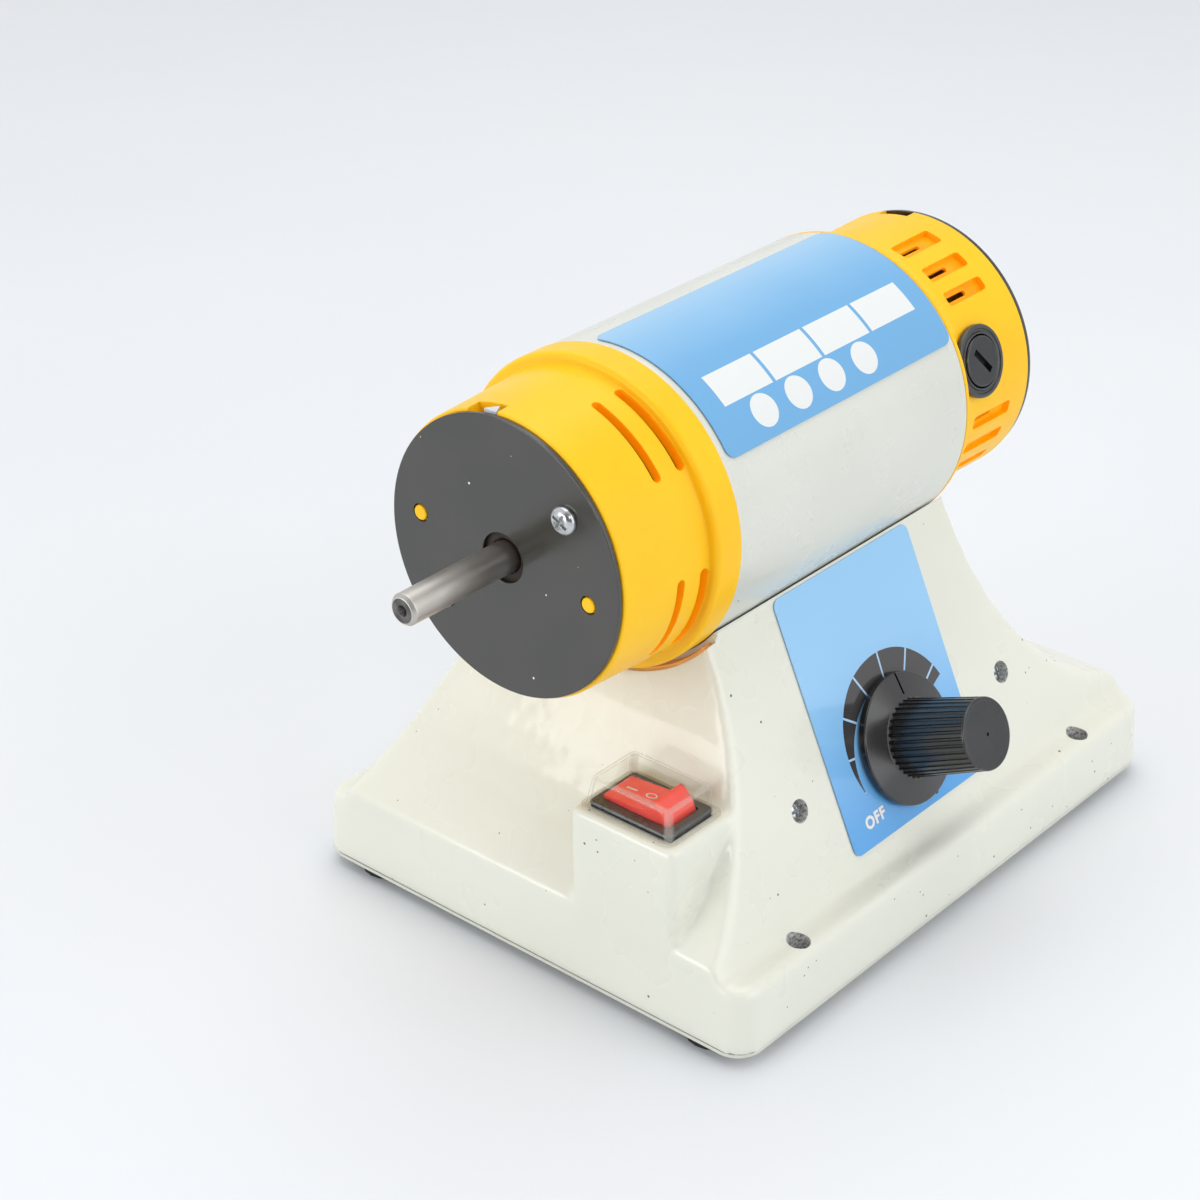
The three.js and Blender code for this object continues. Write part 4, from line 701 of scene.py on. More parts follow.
class Form:
    """A mesh in lathe millimetres, with the shaping steps that the pieces share."""

    def __init__(self) -> None:
        """Starts with an empty mesh."""
        self.mesh = bmesh.new()

    @classmethod
    def turned(cls, outline: Sequence[Point], steps: int = 96) -> "Form":
        """Turns an outline round the Y axis.

        Args:
            outline: Radius, place along Y and corner round of each point. It closes on itself
                unless it starts on the axis.
            steps: Steps in the full turn.

        Returns:
            The closed solid.
        """
        form = cls()
        points = [form.mesh.verts.new((radius, along, 0)) for radius, along, _ in outline]
        ends = points[1:] + (points[:1] if outline[0][0] > 0 else [])
        for start, end in zip(points, ends):
            form.mesh.edges.new((start, end))
        form.round_points(points, [corner for _, _, corner in outline])
        bmesh.ops.spin(
            form.mesh, geom=form.mesh.verts[:] + form.mesh.edges[:], cent=(0, 0, 0), axis=(0, 1, 0),
            dvec=(0, 0, 0), angle=math.tau, steps=steps, use_merge=True, use_duplicate=False,
        )
        return form.welded()

    @classmethod
    def swept(cls, radii: Flat, along: Flat, low: float, high: float, steps: int) -> "Form":
        """Sweeps a rectangle round the Y axis.

        Args:
            radii: Its inner and outer radius.
            along: Its two ends along Y.
            low: The angle where the sweep ends, in degrees from +X toward +Z.
            high: The angle where it starts.
            steps: Steps between them.

        Returns:
            The closed solid.
        """
        form = cls()
        (inner, outer), (start, end) = radii, along
        section = ((inner, start), (outer, start), (outer, end), (inner, end))
        form.mesh.faces.new([form.mesh.verts.new((radius, place, 0)) for radius, place in section])
        bmesh.ops.spin(
            form.mesh, geom=form.mesh.faces[:] + form.mesh.edges[:] + form.mesh.verts[:], cent=(0, 0, 0),
            axis=(0, 1, 0), dvec=(0, 0, 0), angle=math.radians(high - low), steps=steps, use_duplicate=False,
        )
        return form.welded().moved(swing(high))

    @classmethod
    def prism(cls, outline: Sequence[Point], low: float, high: float) -> "Form":
        """Raises a flat outline between two heights.

        Args:
            outline: The x, y and corner round of each point.
            low: The lower height.
            high: The upper height.

        Returns:
            The closed solid.
        """
        form = cls()
        points = [form.mesh.verts.new((x, y, low)) for x, y, _ in outline]
        form.mesh.faces.new(points)
        form.round_points(points, [corner for _, _, corner in outline])
        raised = bmesh.ops.extrude_face_region(form.mesh, geom=form.mesh.faces[:])["geom"]
        moved = [item for item in raised if isinstance(item, bmesh.types.BMVert)]
        bmesh.ops.translate(form.mesh, verts=moved, vec=(0, 0, high - low))
        return form.welded()

    @classmethod
    def panel(cls, start: Flat, end: Flat, corner: float, low: float, high: float) -> "Form":
        """Raises a rounded rectangle between two heights.

        Args:
            start: The x and y of its lower left corner.
            end: The x and y of its upper right corner.
            corner: The round of its corners.
            low: The lower height.
            high: The upper height.

        Returns:
            The closed solid.
        """
        (left, bottom), (right, top) = start, end
        corners = ((left, bottom), (right, bottom), (right, top), (left, top))
        return cls.prism([(x, y, corner) for x, y in corners], low, high)

    @classmethod
    def plate(cls, half_x: float, half_y: float, corner: float, low: float, high: float) -> "Form":
        """A rounded rectangle round the Z axis, raised between two heights."""
        return cls.panel((-half_x, -half_y), (half_x, half_y), corner, low, high)

    @classmethod
    def block(cls, low: Point, high: Point) -> "Form":
        """Makes a box.

        Args:
            low: Its least corner.
            high: Its greatest corner.

        Returns:
            The closed solid.
        """
        form = cls()
        size = Vector(high) - Vector(low)
        place = Matrix.Translation((Vector(low) + Vector(high)) / 2) @ Matrix.Diagonal((*size, 1))
        bmesh.ops.create_cube(form.mesh, size=1, matrix=place)
        return form

    @classmethod
    def rod(cls, radius: float, start: Point, end: Point, sides: int = 48,
            tip: float | None = None) -> "Form":
        """Makes a round bar.

        Args:
            radius: Its radius.
            start: The middle of its first end.
            end: The middle of its other end.
            sides: Its sides.
            tip: Its radius at the other end, where it tapers.

        Returns:
            The closed solid.
        """
        form = cls()
        reach = Vector(end) - Vector(start)
        place = Matrix.Translation((Vector(start) + Vector(end)) / 2)
        place @= Vector((0, 0, 1)).rotation_difference(reach).to_matrix().to_4x4()
        bmesh.ops.create_cone(
            form.mesh, cap_ends=True, segments=sides, radius1=radius, radius2=radius if tip is None else tip,
            depth=reach.length, matrix=place,
        )
        return form

    @classmethod
    def of_node(cls, node: str) -> "Form":
        """Copies a CAD node's mesh and merges its doubles.

        Args:
            node: The node's name.

        Returns:
            The copy, in lathe millimetres.
        """
        form = cls()
        form.mesh.from_mesh(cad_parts[node].data)
        form.mesh.transform(TO_FRAME.inverted())
        bmesh.ops.remove_doubles(form.mesh, verts=form.mesh.verts, dist=0.001)
        return form

    @classmethod
    def lettering(cls, text: str, size: float, rise: float, swell: float) -> "Form":
        """Makes plain capitals as a thin mesh on the XY plane.

        Args:
            text: The letters.
            size: Their size.
            rise: Their thickness.
            swell: How far their strokes are thickened.

        Returns:
            The lettering, its baseline starting at the origin.
        """
        curve = bpy.data.curves.new("lettering", "FONT")
        curve.body, curve.size, curve.extrude, curve.offset = text, size, rise / 2, swell
        curve.space_character = 1.12
        holder = bpy.data.objects.new("lettering", curve)
        bpy.context.scene.collection.objects.link(holder)
        graph = bpy.context.evaluated_depsgraph_get()
        mesh = bpy.data.meshes.new_from_object(holder.evaluated_get(graph))
        form = cls()
        form.mesh.from_mesh(mesh)
        form.mesh.transform(Matrix.Translation((0, 0, rise / 2)))
        bpy.data.objects.remove(holder)
        bpy.data.curves.remove(curve)
        bpy.data.meshes.remove(mesh)
        return form.welded()

    def round_points(self, points: Sequence[bmesh.types.BMVert], rounds: Sequence[float]) -> None:
        """Rounds the corners of an outline.

        Args:
            points: The corners.
            rounds: The radius of each, or zero.
        """
        for point, corner in zip(points, rounds):
            if corner > 0:
                bmesh.ops.bevel(
                    self.mesh, geom=[point], offset=corner, offset_type="OFFSET",
                    segments=8 if corner > 1.5 else 5, profile=0.5, affect="VERTICES", material=-1,
                )

    def welded(self) -> "Form":
        """Merges doubles and points every face outward.

        Returns:
            The form itself.
        """
        bmesh.ops.remove_doubles(self.mesh, verts=self.mesh.verts, dist=0.0005)
        bmesh.ops.recalc_face_normals(self.mesh, faces=self.mesh.faces)
        return self

    def moved(self, *steps: Matrix) -> "Form":
        """Moves the form.

        Args:
            *steps: The matrices whose product moves it.

        Returns:
            The form itself.
        """
        whole = Matrix.Identity(4)
        for step in steps:
            whole = whole @ step
        self.mesh.transform(whole)
        return self

    def eased(self, radius: float, segments: int = 2, least: float = 35.0,
              where: Callable[[Vector], bool] | None = None) -> "Form":
        """Rounds the sharp edges.

        Args:
            radius: The round's offset.
            segments: Faces across the round.
            least: The least angle between faces, in degrees, that is rounded.
            where: Picks edges by their middle.

        Returns:
            The form itself.
        """
        limit = math.radians(least)
        edges = [
            edge for edge in self.mesh.edges
            if edge.is_manifold and edge.calc_face_angle() > limit
            and (where is None or where((edge.verts[0].co + edge.verts[1].co) / 2))
        ]
        bmesh.ops.bevel(
            self.mesh, geom=edges, offset=radius, offset_type="OFFSET", segments=segments, profile=0.5,
            affect="EDGES", clamp_overlap=True, material=-1,
        )
        return self

    def as_object(self, name: str) -> bpy.types.Object:
        """Links the form to the scene as it stands.

        Args:
            name: The object's name.

        Returns:
            The new object.
        """
        mesh = bpy.data.meshes.new(name)
        self.mesh.to_mesh(mesh)
        built = bpy.data.objects.new(name, mesh)
        bpy.context.scene.collection.objects.link(built)
        return built

    def with_modifiers(self, dress: Callable[[bpy.types.Object], None],
                       others: Iterable[bpy.types.Object] = ()) -> "Form":
        """Applies modifiers and takes the result.

        Args:
            dress: Adds the modifiers to a stand-in object.
            others: Stand-in objects that they use, removed afterwards.

        Returns:
            The form itself.
        """
        stand_in = self.as_object("stand_in")
        dress(stand_in)
        graph = bpy.context.evaluated_depsgraph_get()
        shaped = bpy.data.meshes.new_from_object(stand_in.evaluated_get(graph))
        self.mesh.clear()
        self.mesh.from_mesh(shaped)
        for item in [stand_in, *others]:
            mesh = item.data
            bpy.data.objects.remove(item)
            bpy.data.meshes.remove(mesh)
        bpy.data.meshes.remove(shaped)
        return self

    def combined(self, way: Way, forms: Iterable["Form"]) -> "Form":
        """Cuts other forms away from this one, or joins them to it.

        Args:
            way: Whether they cut or join.
            forms: The other forms.

        Returns:
            The form itself.
        """
        others = [form.as_object(f"tool_{place}") for place, form in enumerate(forms)]

        def dress(stand_in: bpy.types.Object) -> None:
            """Adds one Boolean for each other form.

            Args:
                stand_in: The object that is cut or joined.
            """
            for other in others:
                step = stand_in.modifiers.new(other.name, "BOOLEAN")
                step.operation, step.solver, step.object = way.value, "MANIFOLD", other

        return self.with_modifiers(dress, others)

    def cut(self, *forms: "Form") -> "Form":
        """Cuts other forms away."""
        return self.combined(Way.CUT, forms)

    def joined(self, *forms: "Form") -> "Form":
        """Joins other forms to this one."""
        return self.combined(Way.JOIN, forms)

    def beside(self, *forms: "Form") -> "Form":
        """Adds forms that stay bodies of their own.

        Args:
            *forms: The forms that are added.

        Returns:
            The form itself.
        """
        for form in forms:
            mesh = bpy.data.meshes.new("beside")
            form.mesh.to_mesh(mesh)
            self.mesh.from_mesh(mesh)
            bpy.data.meshes.remove(mesh)
        return self

    def marked(self, index: int, pick: Callable[[bmesh.types.BMFace], bool]) -> "Form":
        """Gives some faces one of the piece's further finishes.

        Args:
            index: The finish's place, from 1.
            pick: Picks the faces.

        Returns:
            The form itself.
        """
        for face in self.mesh.faces:
            if pick(face):
                face.material_index = index
        return self

    def charted(self, left: float = 0.0, bottom: float = 0.0) -> "Form":
        """Keeps each point's place on a flat film as its UV map, in metres.

        Args:
            left: The x of the film's origin.
            bottom: The y of the film's origin.

        Returns:
            The form itself.
        """
        chart = self.mesh.loops.layers.uv.new("film")
        for face in self.mesh.faces:
            for loop in face.loops:
                place = loop.vert.co
                loop[chart].uv = ((place.x - left) / 1000, (place.y - bottom) / 1000)
        return self

    def piece(self, name: str, finish: Finish, body: Body, slot: str, replaces: Sequence[str] = (),
              smooth: float = 32.0, further: Sequence[Finish] = ()) -> bpy.types.Object:
        """Finishes the form as a piece of the lathe.

        Args:
            name: The piece's name.
            finish: Its surface.
            body: The body it rides on.
            slot: Not used.
            replaces: CAD nodes that it stands for.
            smooth: Edges with a greater angle, in degrees, stay sharp.
            further: Finishes of the faces that were marked with an index from 1.

        Returns:
            The finished object, at the origin.
        """
        self.mesh.transform(TO_FRAME)
        limit = math.radians(smooth)
        for face in self.mesh.faces:
            face.smooth = True
        for edge in self.mesh.edges:
            edge.smooth = not edge.is_manifold or edge.calc_face_angle() < limit
        built = self.as_object(name)
        for surface in (finish, *further):
            built.data.materials.append(surface.material())
        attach(built, body.value)
        if replaces:
            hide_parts(*replaces)
        even = built.modifiers.new("even_shading", "WEIGHTED_NORMAL")
        even.keep_sharp = True
        LOG.info("%s: %d faces on %s", name, len(built.data.polygons), body.value)
        return built


# Sub-assemblies


@dataclass(frozen=True)
class PanHead:
    """A pan-head screw with a cross recess."""

    radius: float = 3.8
    height: float = 2.1
    shank: float = 1.5
    length: float = 6.0
    recess_half: float = 0.42
    recess_depth: float = 1.1

    def form(self) -> Form:
        """Shapes the screw.

        Returns:
            The screw, its head's seat at y = 0 and its top toward -Y.
        """
        arm, half, top = self.radius * 0.62, self.recess_half, -self.height
        screw = Form.turned([
            (0, top, 0), (arm, top, 0.7), (self.radius * 0.95, top * 0.5, 0.5), (self.radius, 0, 0.15),
            (self.shank, 0, 0), (self.shank, self.length, 0.3), (0, self.length, 0),
        ], 48)
        return screw.cut(
            Form.block((-arm, top - 1, -half), (arm, top + self.recess_depth, half)),
            Form.block((-half, top - 1, -arm), (half, top + self.recess_depth, arm)),
            Form.rod(0.95, (0, top - 0.5, 0), (0, top + 1.5, 0), 4, 0.5),
        )


def rim_notch(floor: float, end: float) -> Form:
    """Shapes the cutter of the notch at the top of a bell's rim.

    Args:
        floor: The radius of the notch's floor.
        end: The cutter's rear end along Y.

    Returns:
        The cutter.
    """
    low, high = NOTCH_SPAN
    middle, reach, depth = (low + high) / 2, 43.0, 7
    outline = [
        (math.cos(math.radians(angle)) * radius, math.sin(math.radians(angle)) * radius, 0)
        for radius, angles in ((reach, (low, middle, high)), (floor, (high, middle, low)))
        for angle in angles
    ]
    return Form.prism(outline, 0, depth).moved(Matrix.Translation((0, end, 0)), Y_TO_Z)


@dataclass
class FrontBell:
    """The plastic bell at the working end, with its slots, notch, pins and flange."""

    depth: float = 38.3
    rim: float = 37.8
    root: float = 39.2
    wall: float = 2.6
    flange: float = 42.3
    flange_depth: float = 9.0
    slot_width: float = 2.6
    slot_setbacks: Flat = (18.7, 10.5)
    slot_spans: tuple[Flat, ...] = ((37.5, 71.5), (-39.0, -4.0))
    notch_floor: float = 34.2
    notch_end: float = 4.0
    pin_radius: float = 2.0
    pin_rise: float = 0.35
    pin_root: float = -36.5
    seal_radii: Flat = (4.7, 11.1)
    seal_ends: Flat = (-38.45, -38.1)
    # Outline and heights of the pale wedge that paints the light seen through the notch.
    light_wedge: tuple[Point, ...] = ((-6.4, -38.1, 0.1), (-2.4, -38.1, 0.1), (-4.2, -34.9, 0.3))
    light_wedge_heights: Flat = (34.0, 37.5)

    def shell(self) -> Form:
        """Turns the shell.

        Returns:
            The shell, without its slots.
        """
        face, flange = -self.depth, -self.flange_depth
        return Form.turned([
            (11.3, face, 0.3), (self.rim, face, 0.7), (self.root - 0.1, flange - 1.3, 0.8),
            (self.root + 0.2, flange - 0.1, 0.35), (self.flange, flange, 1.6), (self.flange, 0.0, 0.25),
            (39.9, 0.0, 0), (39.9, 8.0, 0), (37.3, 8.0, 0), (37.3, 0.0, 0),
            (self.root - self.wall, flange, 0), (self.rim - self.wall, face + 3, 1.0),
            (14.0, face + 3, 0), (14.0, face + 7.3, 0), (11.3, face + 7.3, 0),
        ], 192)

    def slot(self, setback: float, low: float, high: float) -> Form:
        """Shapes the cutter of a round-ended slot.

        Args:
            setback: How far the slot lies in front of the tube.
            low: The angle of its lower end.
            high: The angle of its upper end.

        Returns:
            The cutter.
        """
        half = self.slot_width / 2
        inner, outer = self.rim - self.wall - 3, self.root + 3
        cutter = Form.swept((inner, outer), (-half - setback, half - setback), low, high, 16)
        ends = [
            Form.rod(half, (inner, -setback, 0), (outer, -setback, 0), 24).moved(swing(angle))
            for angle in (low, high)
        ]
        return cutter.joined(*ends)

    def pins(self) -> list[Form]:
        """Turns the two pins that show in the disc.

        Returns:
            Both pins.
        """
        x, z = DISC_PIN
        top = FRONT_FACE - self.pin_rise
        outline = [(0, top, 0), (self.pin_radius, top, 0.5), (self.pin_radius, self.pin_root, 0),
                   (0, self.pin_root, 0)]
        places = [Matrix.Translation((side * x, 0, side * z)) for side in (1, -1)]
        return [Form.turned(outline, 32).moved(place) for place in places]

    def build(self) -> None:
        """Makes the bell with its pins, the seal round the spindle, which also paints the bore's shade, and a
        pale wedge in the notch, which paints the bright room seen through it.
        """
        cutters = [
            self.slot(setback, low + turn, high + turn)
            for setback in self.slot_setbacks for low, high in self.slot_spans for turn in (0, 180)
        ]
        cutters.append(rim_notch(self.notch_floor, -self.depth + self.notch_end))
        # The slot walls take the deeper orange with its painted glow.
        bell = self.shell().cut(*cutters).joined(*self.pins()).marked(1, self.in_slot).moved(ON_AXIS)
        bell.piece("bell_front", YELLOW_PLASTIC, Body.BASE, "yellow_plastic", ["front_bell"],
                   further=[YELLOW_PAINTED_GLOW])
        # The seal's dark brown also paints the shade in the bore.
        (inner, outer), (front, back) = self.seal_radii, self.seal_ends
        section = ((inner, front), (outer, front), (outer, back), (inner, back))
        seal = Form.turned([(radius, along, 0.1) for radius, along in section])
        seal.moved(ON_AXIS).piece("seal_and_bore_shade", SEAL_AND_SHADE_BROWN, Body.BASE, "foot_rubber")
        # A pale wedge in the notch paints the bright room seen through it.
        light_wedge = Form.prism(self.light_wedge, *self.light_wedge_heights).eased(0.25, 2, 60)
        light_wedge.moved(ON_AXIS).piece("notch_light_wedge", NOTCH_PAINTED_LIGHT, Body.BASE, "zinc_screw")

    def in_slot(self, face: bmesh.types.BMFace) -> bool:
        """Tells the walls of the slots.

        Args:
            face: A face of the bell.

        Returns:
            Whether it is the wall of a slot.
        """
        middle = face.calc_center_median()
        out = Vector((middle.x, 0, middle.z))
        near = max(self.slot_setbacks) + self.slot_width / 2 + 0.1
        far = min(self.slot_setbacks) - self.slot_width / 2 - 0.05
        return (-near < middle.y < -far and 33 < out.length < self.root + 0.2
                and abs(face.normal.dot(out.normalized())) < 0.5)


@dataclass
class RearBell:
    """The plastic bell at the brush end, with its vent pockets and brush seats."""

    start: float = TUBE_LENGTH
    depth: float = 35.5
    root: float = 37.6
    rim: float = 38.3
    wall: float = 2.6
    vents: tuple[Flat, ...] = ((74.9, 5.8), (59, 4.8), (46, 4), (-9.4, 4), (-22.7, 4), (-36.5, 4))
    vent_start: float = 11.0
    vent_length: float = 16.5
    vent_depth: float = 1.3
    vent_corner: float = 0.9
    slit_ends: Flat = (1.5, 10.0)
    slit_half: float = 0.75
    slit_corner: float = 0.7
    slit_floor: float = 31.0
    clear: float = 46.0
    brush_bores: tuple[Flat, ...] = ((10.3, 36.7), (8.5, 30.0))
    brush_clear: float = 47.0
    notch_floor: float = 34.7
    notch_end: float = 3.0

    def shell(self) -> Form:
        """Turns the shell.

        Returns:
            The shell, without its pockets.
        """
        start, face = self.start, self.start + self.depth
        return Form.turned([
            (11.3, face, 0.3), (11.3, face - 7.3, 0), (14.0, face - 7.3, 0), (14.0, face - 3, 0),
            (self.rim - self.wall, face - 3, 0.6), (self.root - self.wall, start + 7, 0), (37.3, start, 0),
            (37.3, start - 8, 0), (39.9, start - 8, 0), (39.9, start, 0), (TUBE_RADIUS, start, 0.2),
            (TUBE_RADIUS, start + 1.5, 0.5), (TUBE_RADIUS - self.wall, start + 2.2, 1.4),
            (self.root, start + 7, 2.0), (self.rim, face, 0.7),
        ], 192)

    def vent(self, angle: float, width: float) -> list[Form]:
        """Shapes the cutters of one pocket and its slit.

        Args:
            angle: The pocket's place round the bell.
            width: The pocket's width.

        Returns:
            Both cutters.
        """
        start, half = self.start + self.vent_start, width / 2
        near, far = (start + end for end in self.slit_ends)
        pocket = Form.panel((start, -half), (start + self.vent_length, half), self.vent_corner,
                            self.root - self.vent_depth, self.clear)
        slit = Form.panel((near, -self.slit_half), (far, self.slit_half), self.slit_corner,
                          self.slit_floor, self.clear)
        lie = Matrix(((0, 0, 1, 0), (1, 0, 0, 0), (0, 1, 0, 0), (0, 0, 0, 1)))
        return [cutter.moved(swing(angle), lie) for cutter in (pocket, slit)]

    def build(self) -> None:
        """Makes the bell, its pockets with their slits, and the seats of the brush holders."""
        cutters = []
        for angle, width in self.vents:
            for turn in (0, 180):
                cutters += self.vent(angle + turn, width)
        for turn in (0, 180):
            for radius, floor in self.brush_bores:
                bore = Form.rod(radius, (floor, 0, 0), (self.brush_clear, 0, 0), 64)
                cutters.append(bore.moved(Matrix.Translation((0, BRUSH_BACK, 0)), swing(BRUSH_ANGLE + turn)))
        cutters.append(rim_notch(self.notch_floor, self.start + self.depth + self.notch_end))
        # The pocket floors and walls take the deeper orange with its painted glow.
        bell = self.shell().cut(*cutters).marked(1, self.in_pocket).moved(ON_AXIS)
        bell.piece("bell_rear", YELLOW_PLASTIC, Body.BASE, "yellow_plastic", ["rear_bell"],
                   further=[YELLOW_PAINTED_GLOW])

    def in_pocket(self, face: bmesh.types.BMFace) -> bool:
        """Tells the floors and walls of the vent pockets.

        Args:
            face: A face of the bell.

        Returns:
            Whether it belongs to a pocket.
        """
        middle = face.calc_center_median()
        radius = math.hypot(middle.x, middle.z)
        start = self.start + self.vent_start
        return start - 0.1 < middle.y < start + self.vent_length + 0.1 and 35.5 < radius < self.root - 0.1


@dataclass
class MotorTube:
    """The painted tube and the label wrapped over it."""

    length: float = TUBE_LENGTH
    inner: float = 40.2
    label_start: float = 2.3
    label_length: float = 93.7
    label_span: Flat = (31.0, 100.0)
    label_corner: float = 3.0
    label_radius: float = 42.2
    label_thickness: float = 0.28
    label_strips: int = 40

    def build(self) -> None:
        """Makes the tube and its label."""
        tube = Form.turned([
            (self.inner, SEAT_GAP, 0.2), (TUBE_RADIUS, SEAT_GAP / 3, 0.3),
            (TUBE_RADIUS, self.length - SEAT_GAP / 3, 0.3), (self.inner, self.length - SEAT_GAP, 0.2),
        ], 192)
        tube.moved(ON_AXIS).piece("tube_shell", TUBE_PAINT, Body.BASE, "tube_paint", ["motor_tube"])
        self.label()

    def label(self) -> None:
        """Cuts the film flat, charts and scores it, and wraps it round the tube."""
        low, high = (math.radians(angle) for angle in self.label_span)
        outer = self.label_radius + self.label_thickness
        half_x, half_y = self.label_length / 2, (high - low) * outer / 2
        film = Form.plate(half_x, half_y, self.label_corner, 0, self.label_thickness)
        for step in range(1, self.label_strips):
            place = -half_y + 2 * half_y * step / self.label_strips
            bmesh.ops.bisect_plane(
                film.mesh, geom=film.mesh.verts[:] + film.mesh.edges[:] + film.mesh.faces[:],
                dist=0.0001, plane_co=(0, place, 0), plane_no=(0, 1, 0),
            )
        film.charted(min(vert.co.x for vert in film.mesh.verts), min(vert.co.y for vert in film.mesh.verts))
        for vert in film.mesh.verts:
            x, y, z = vert.co
            angle = low + (y + half_y) / outer
            radius = self.label_radius + z
            vert.co = (radius * math.cos(angle), self.label_start + half_x + x, radius * math.sin(angle))
        film.welded().moved(ON_AXIS)
        film.piece("motor_label_film", MOTOR_FILM, Body.BASE, "label_film", ["motor_label"])


@dataclass
class CoverDiscs:
    """The two cover discs and their four screws."""

    front_radius: float = 37.1
    rear_radius: float = 37.9
    thickness: float = 1.2
    bore: float = 6.6
    rear_face: float = 134.0
    pin_hole: float = 2.45
    screw_place: Flat = (20.4, 17.1)
    screw_turn: float = 0.5
    screw_sink: float = 0.02

    def build(self) -> None:
        """Makes the discs and their screws."""
        back = FRONT_FACE + self.thickness
        disc = Form.turned([
            (self.bore, FRONT_FACE, 0.15), (self.front_radius, FRONT_FACE, 0.3),
            (self.front_radius, back, 0.1), (self.bore, back, 0.1),
        ], 192)
        x, z = DISC_PIN
        holes = [
            Form.rod(self.pin_hole, (side * x, FRONT_FACE - 3, side * z), (side * x, back + 3, side * z))
            for side in (1, -1)
        ]
        disc.cut(*holes).moved(ON_AXIS).piece(
            "disc_front", DISC_PAINT, Body.BASE, "black_disc_paint", ["front_disc"])
        inside = self.rear_face - self.thickness
        rear = Form.turned([
            (0, self.rear_face, 0), (self.rear_radius, self.rear_face, 0.3), (self.rear_radius, inside, 0.1),
            (0, inside, 0),
        ], 192)
        rear.moved(ON_AXIS).piece("disc_rear", DISC_PAINT, Body.BASE, "black_disc_paint", ["rear_disc"])
        self.screws()

    def screws(self) -> None:
        """Makes two screws on each disc."""
        ends = (
            ("front", FRONT_FACE - self.screw_sink, 0.0),
            ("rear", self.rear_face + self.screw_sink, math.pi),
        )
        for place, side in enumerate((1, -1), 1):
            x, z = (side * value for value in self.screw_place)
            for end, along, turn in ends:
                PanHead().form().moved(
                    ON_AXIS, Matrix.Translation((x, along, z)), Matrix.Rotation(turn, 4, "Z"),
                    Matrix.Rotation(self.screw_turn * side, 4, "Y"),
                ).piece(f"screw_{end}_{place}", ZINC, Body.BASE, "zinc_screw", [f"{end}_cover_screw_{place}"])


@dataclass
class Spindle:
    """The ground spindle with its chamfer, centre hole and small flat."""

    radius: float = 4.2
    tip: float = -74.5
    chamfer: float = 0.9
    body: float = 5.2
    body_ends: Flat = (-30.7, 124.9)
    end: float = 132.2
    flat_length: float = 3.2
    flat_height: float = 3.75

    def build(self) -> None:
        """Makes the spindle."""
        front, back = self.body_ends
        shaft = Form.turned([
            (0, self.tip + 2.6, 0), (0.7, self.tip + 1.5, 0), (1.5, self.tip, 0.12),
            (self.radius - self.chamfer, self.tip, 0.12), (self.radius, self.tip + self.chamfer, 0.15),
            (self.radius, front, 0), (self.body, front, 0), (self.body, back, 0), (self.radius, back, 0),
            (self.radius, self.end, 0.3), (0, self.end, 0),
        ], 96)
        shaft.cut(Form.block((-6, self.tip - 1, -6), (6, self.tip + self.flat_length, -self.flat_height)))
        shaft.marked(1, lambda face: face.normal.y < -0.3 and face.calc_center_median().xz.length < 3.1)
        shaft.moved(ON_AXIS).piece(
            "spindle_ground", GROUND_STEEL, Body.SPINDLE, "ground_steel", ["spindle_shaft"],
            further=[TURNED_END])


@dataclass
class BrushGear:
    """The brush holders and their slotted caps, one on each side of the rear bell."""

    face: float = 38.7
    flange: float = 10.0
    flange_depth: float = 1.7
    flat: float = 8.3
    cap: float = 7.0
    cap_rise: float = 0.4
    cap_depth: float = 5.4
    slot_depth: float = 1.7
    slot_length: float = 4.4
    slot_half: float = 0.95
    slot_turn: float = -51.0

    def holder(self) -> Form:
        """Shapes a holder.

        Returns:
            The holder, its axis along X.
        """
        face, seat = self.face, self.face - self.flange_depth
        holder = Form.turned([
            (7.3, face, 0.3), (7.3, face - 8, 0), (3.4, face - 8, 0), (3.4, 13.3, 0), (6.2, 13.3, 0.3),
            (6.2, 21, 0), (8.2, 21, 0.3), (8.2, seat, 0), (self.flange, seat, 0.2), (self.flange, face, 0.5),
            (8.9, face, 0.1), (8.7, face - 0.5, 0.1), (8.1, face - 0.5, 0.1), (7.9, face, 0.1),
        ], 96).moved(Y_TO_X)
        return holder.cut(Form.block((seat, -14, -12), (face + 3, -self.flat, 12)))

    def plug(self) -> Form:
        """Shapes a slotted cap.

        Returns:
            The cap, its axis along X.
        """
        end = self.face + self.cap_rise
        inside = end - self.cap_depth
        plug = Form.turned([(0, end, 0), (self.cap, end, 0.6), (self.cap, inside, 0.3), (0, inside, 0)], 96)
        slot = Form.block((end - self.slot_depth, -self.slot_length, -self.slot_half),
                          (end + 3, self.slot_length, self.slot_half))
        return plug.moved(Y_TO_X).cut(slot.moved(Matrix.Rotation(math.radians(self.slot_turn), 4, "X")))

    def build(self) -> None:
        """Makes both holders and caps."""
        for side, turn in (("right", 0), ("left", 180)):
            arm = [ON_AXIS, Matrix.Translation((0, BRUSH_BACK, 0)), swing(BRUSH_ANGLE + turn)]
            self.holder().moved(*arm).piece(
                f"brush_seat_{side}", BRUSH_PLASTIC, Body.BASE, "black_plastic", [f"brush_holder_{side}"])
            self.plug().moved(*arm).piece(
                f"brush_plug_{side}", KNOB_PLASTIC, Body.BASE, "black_plastic", [f"brush_cap_{side}"])


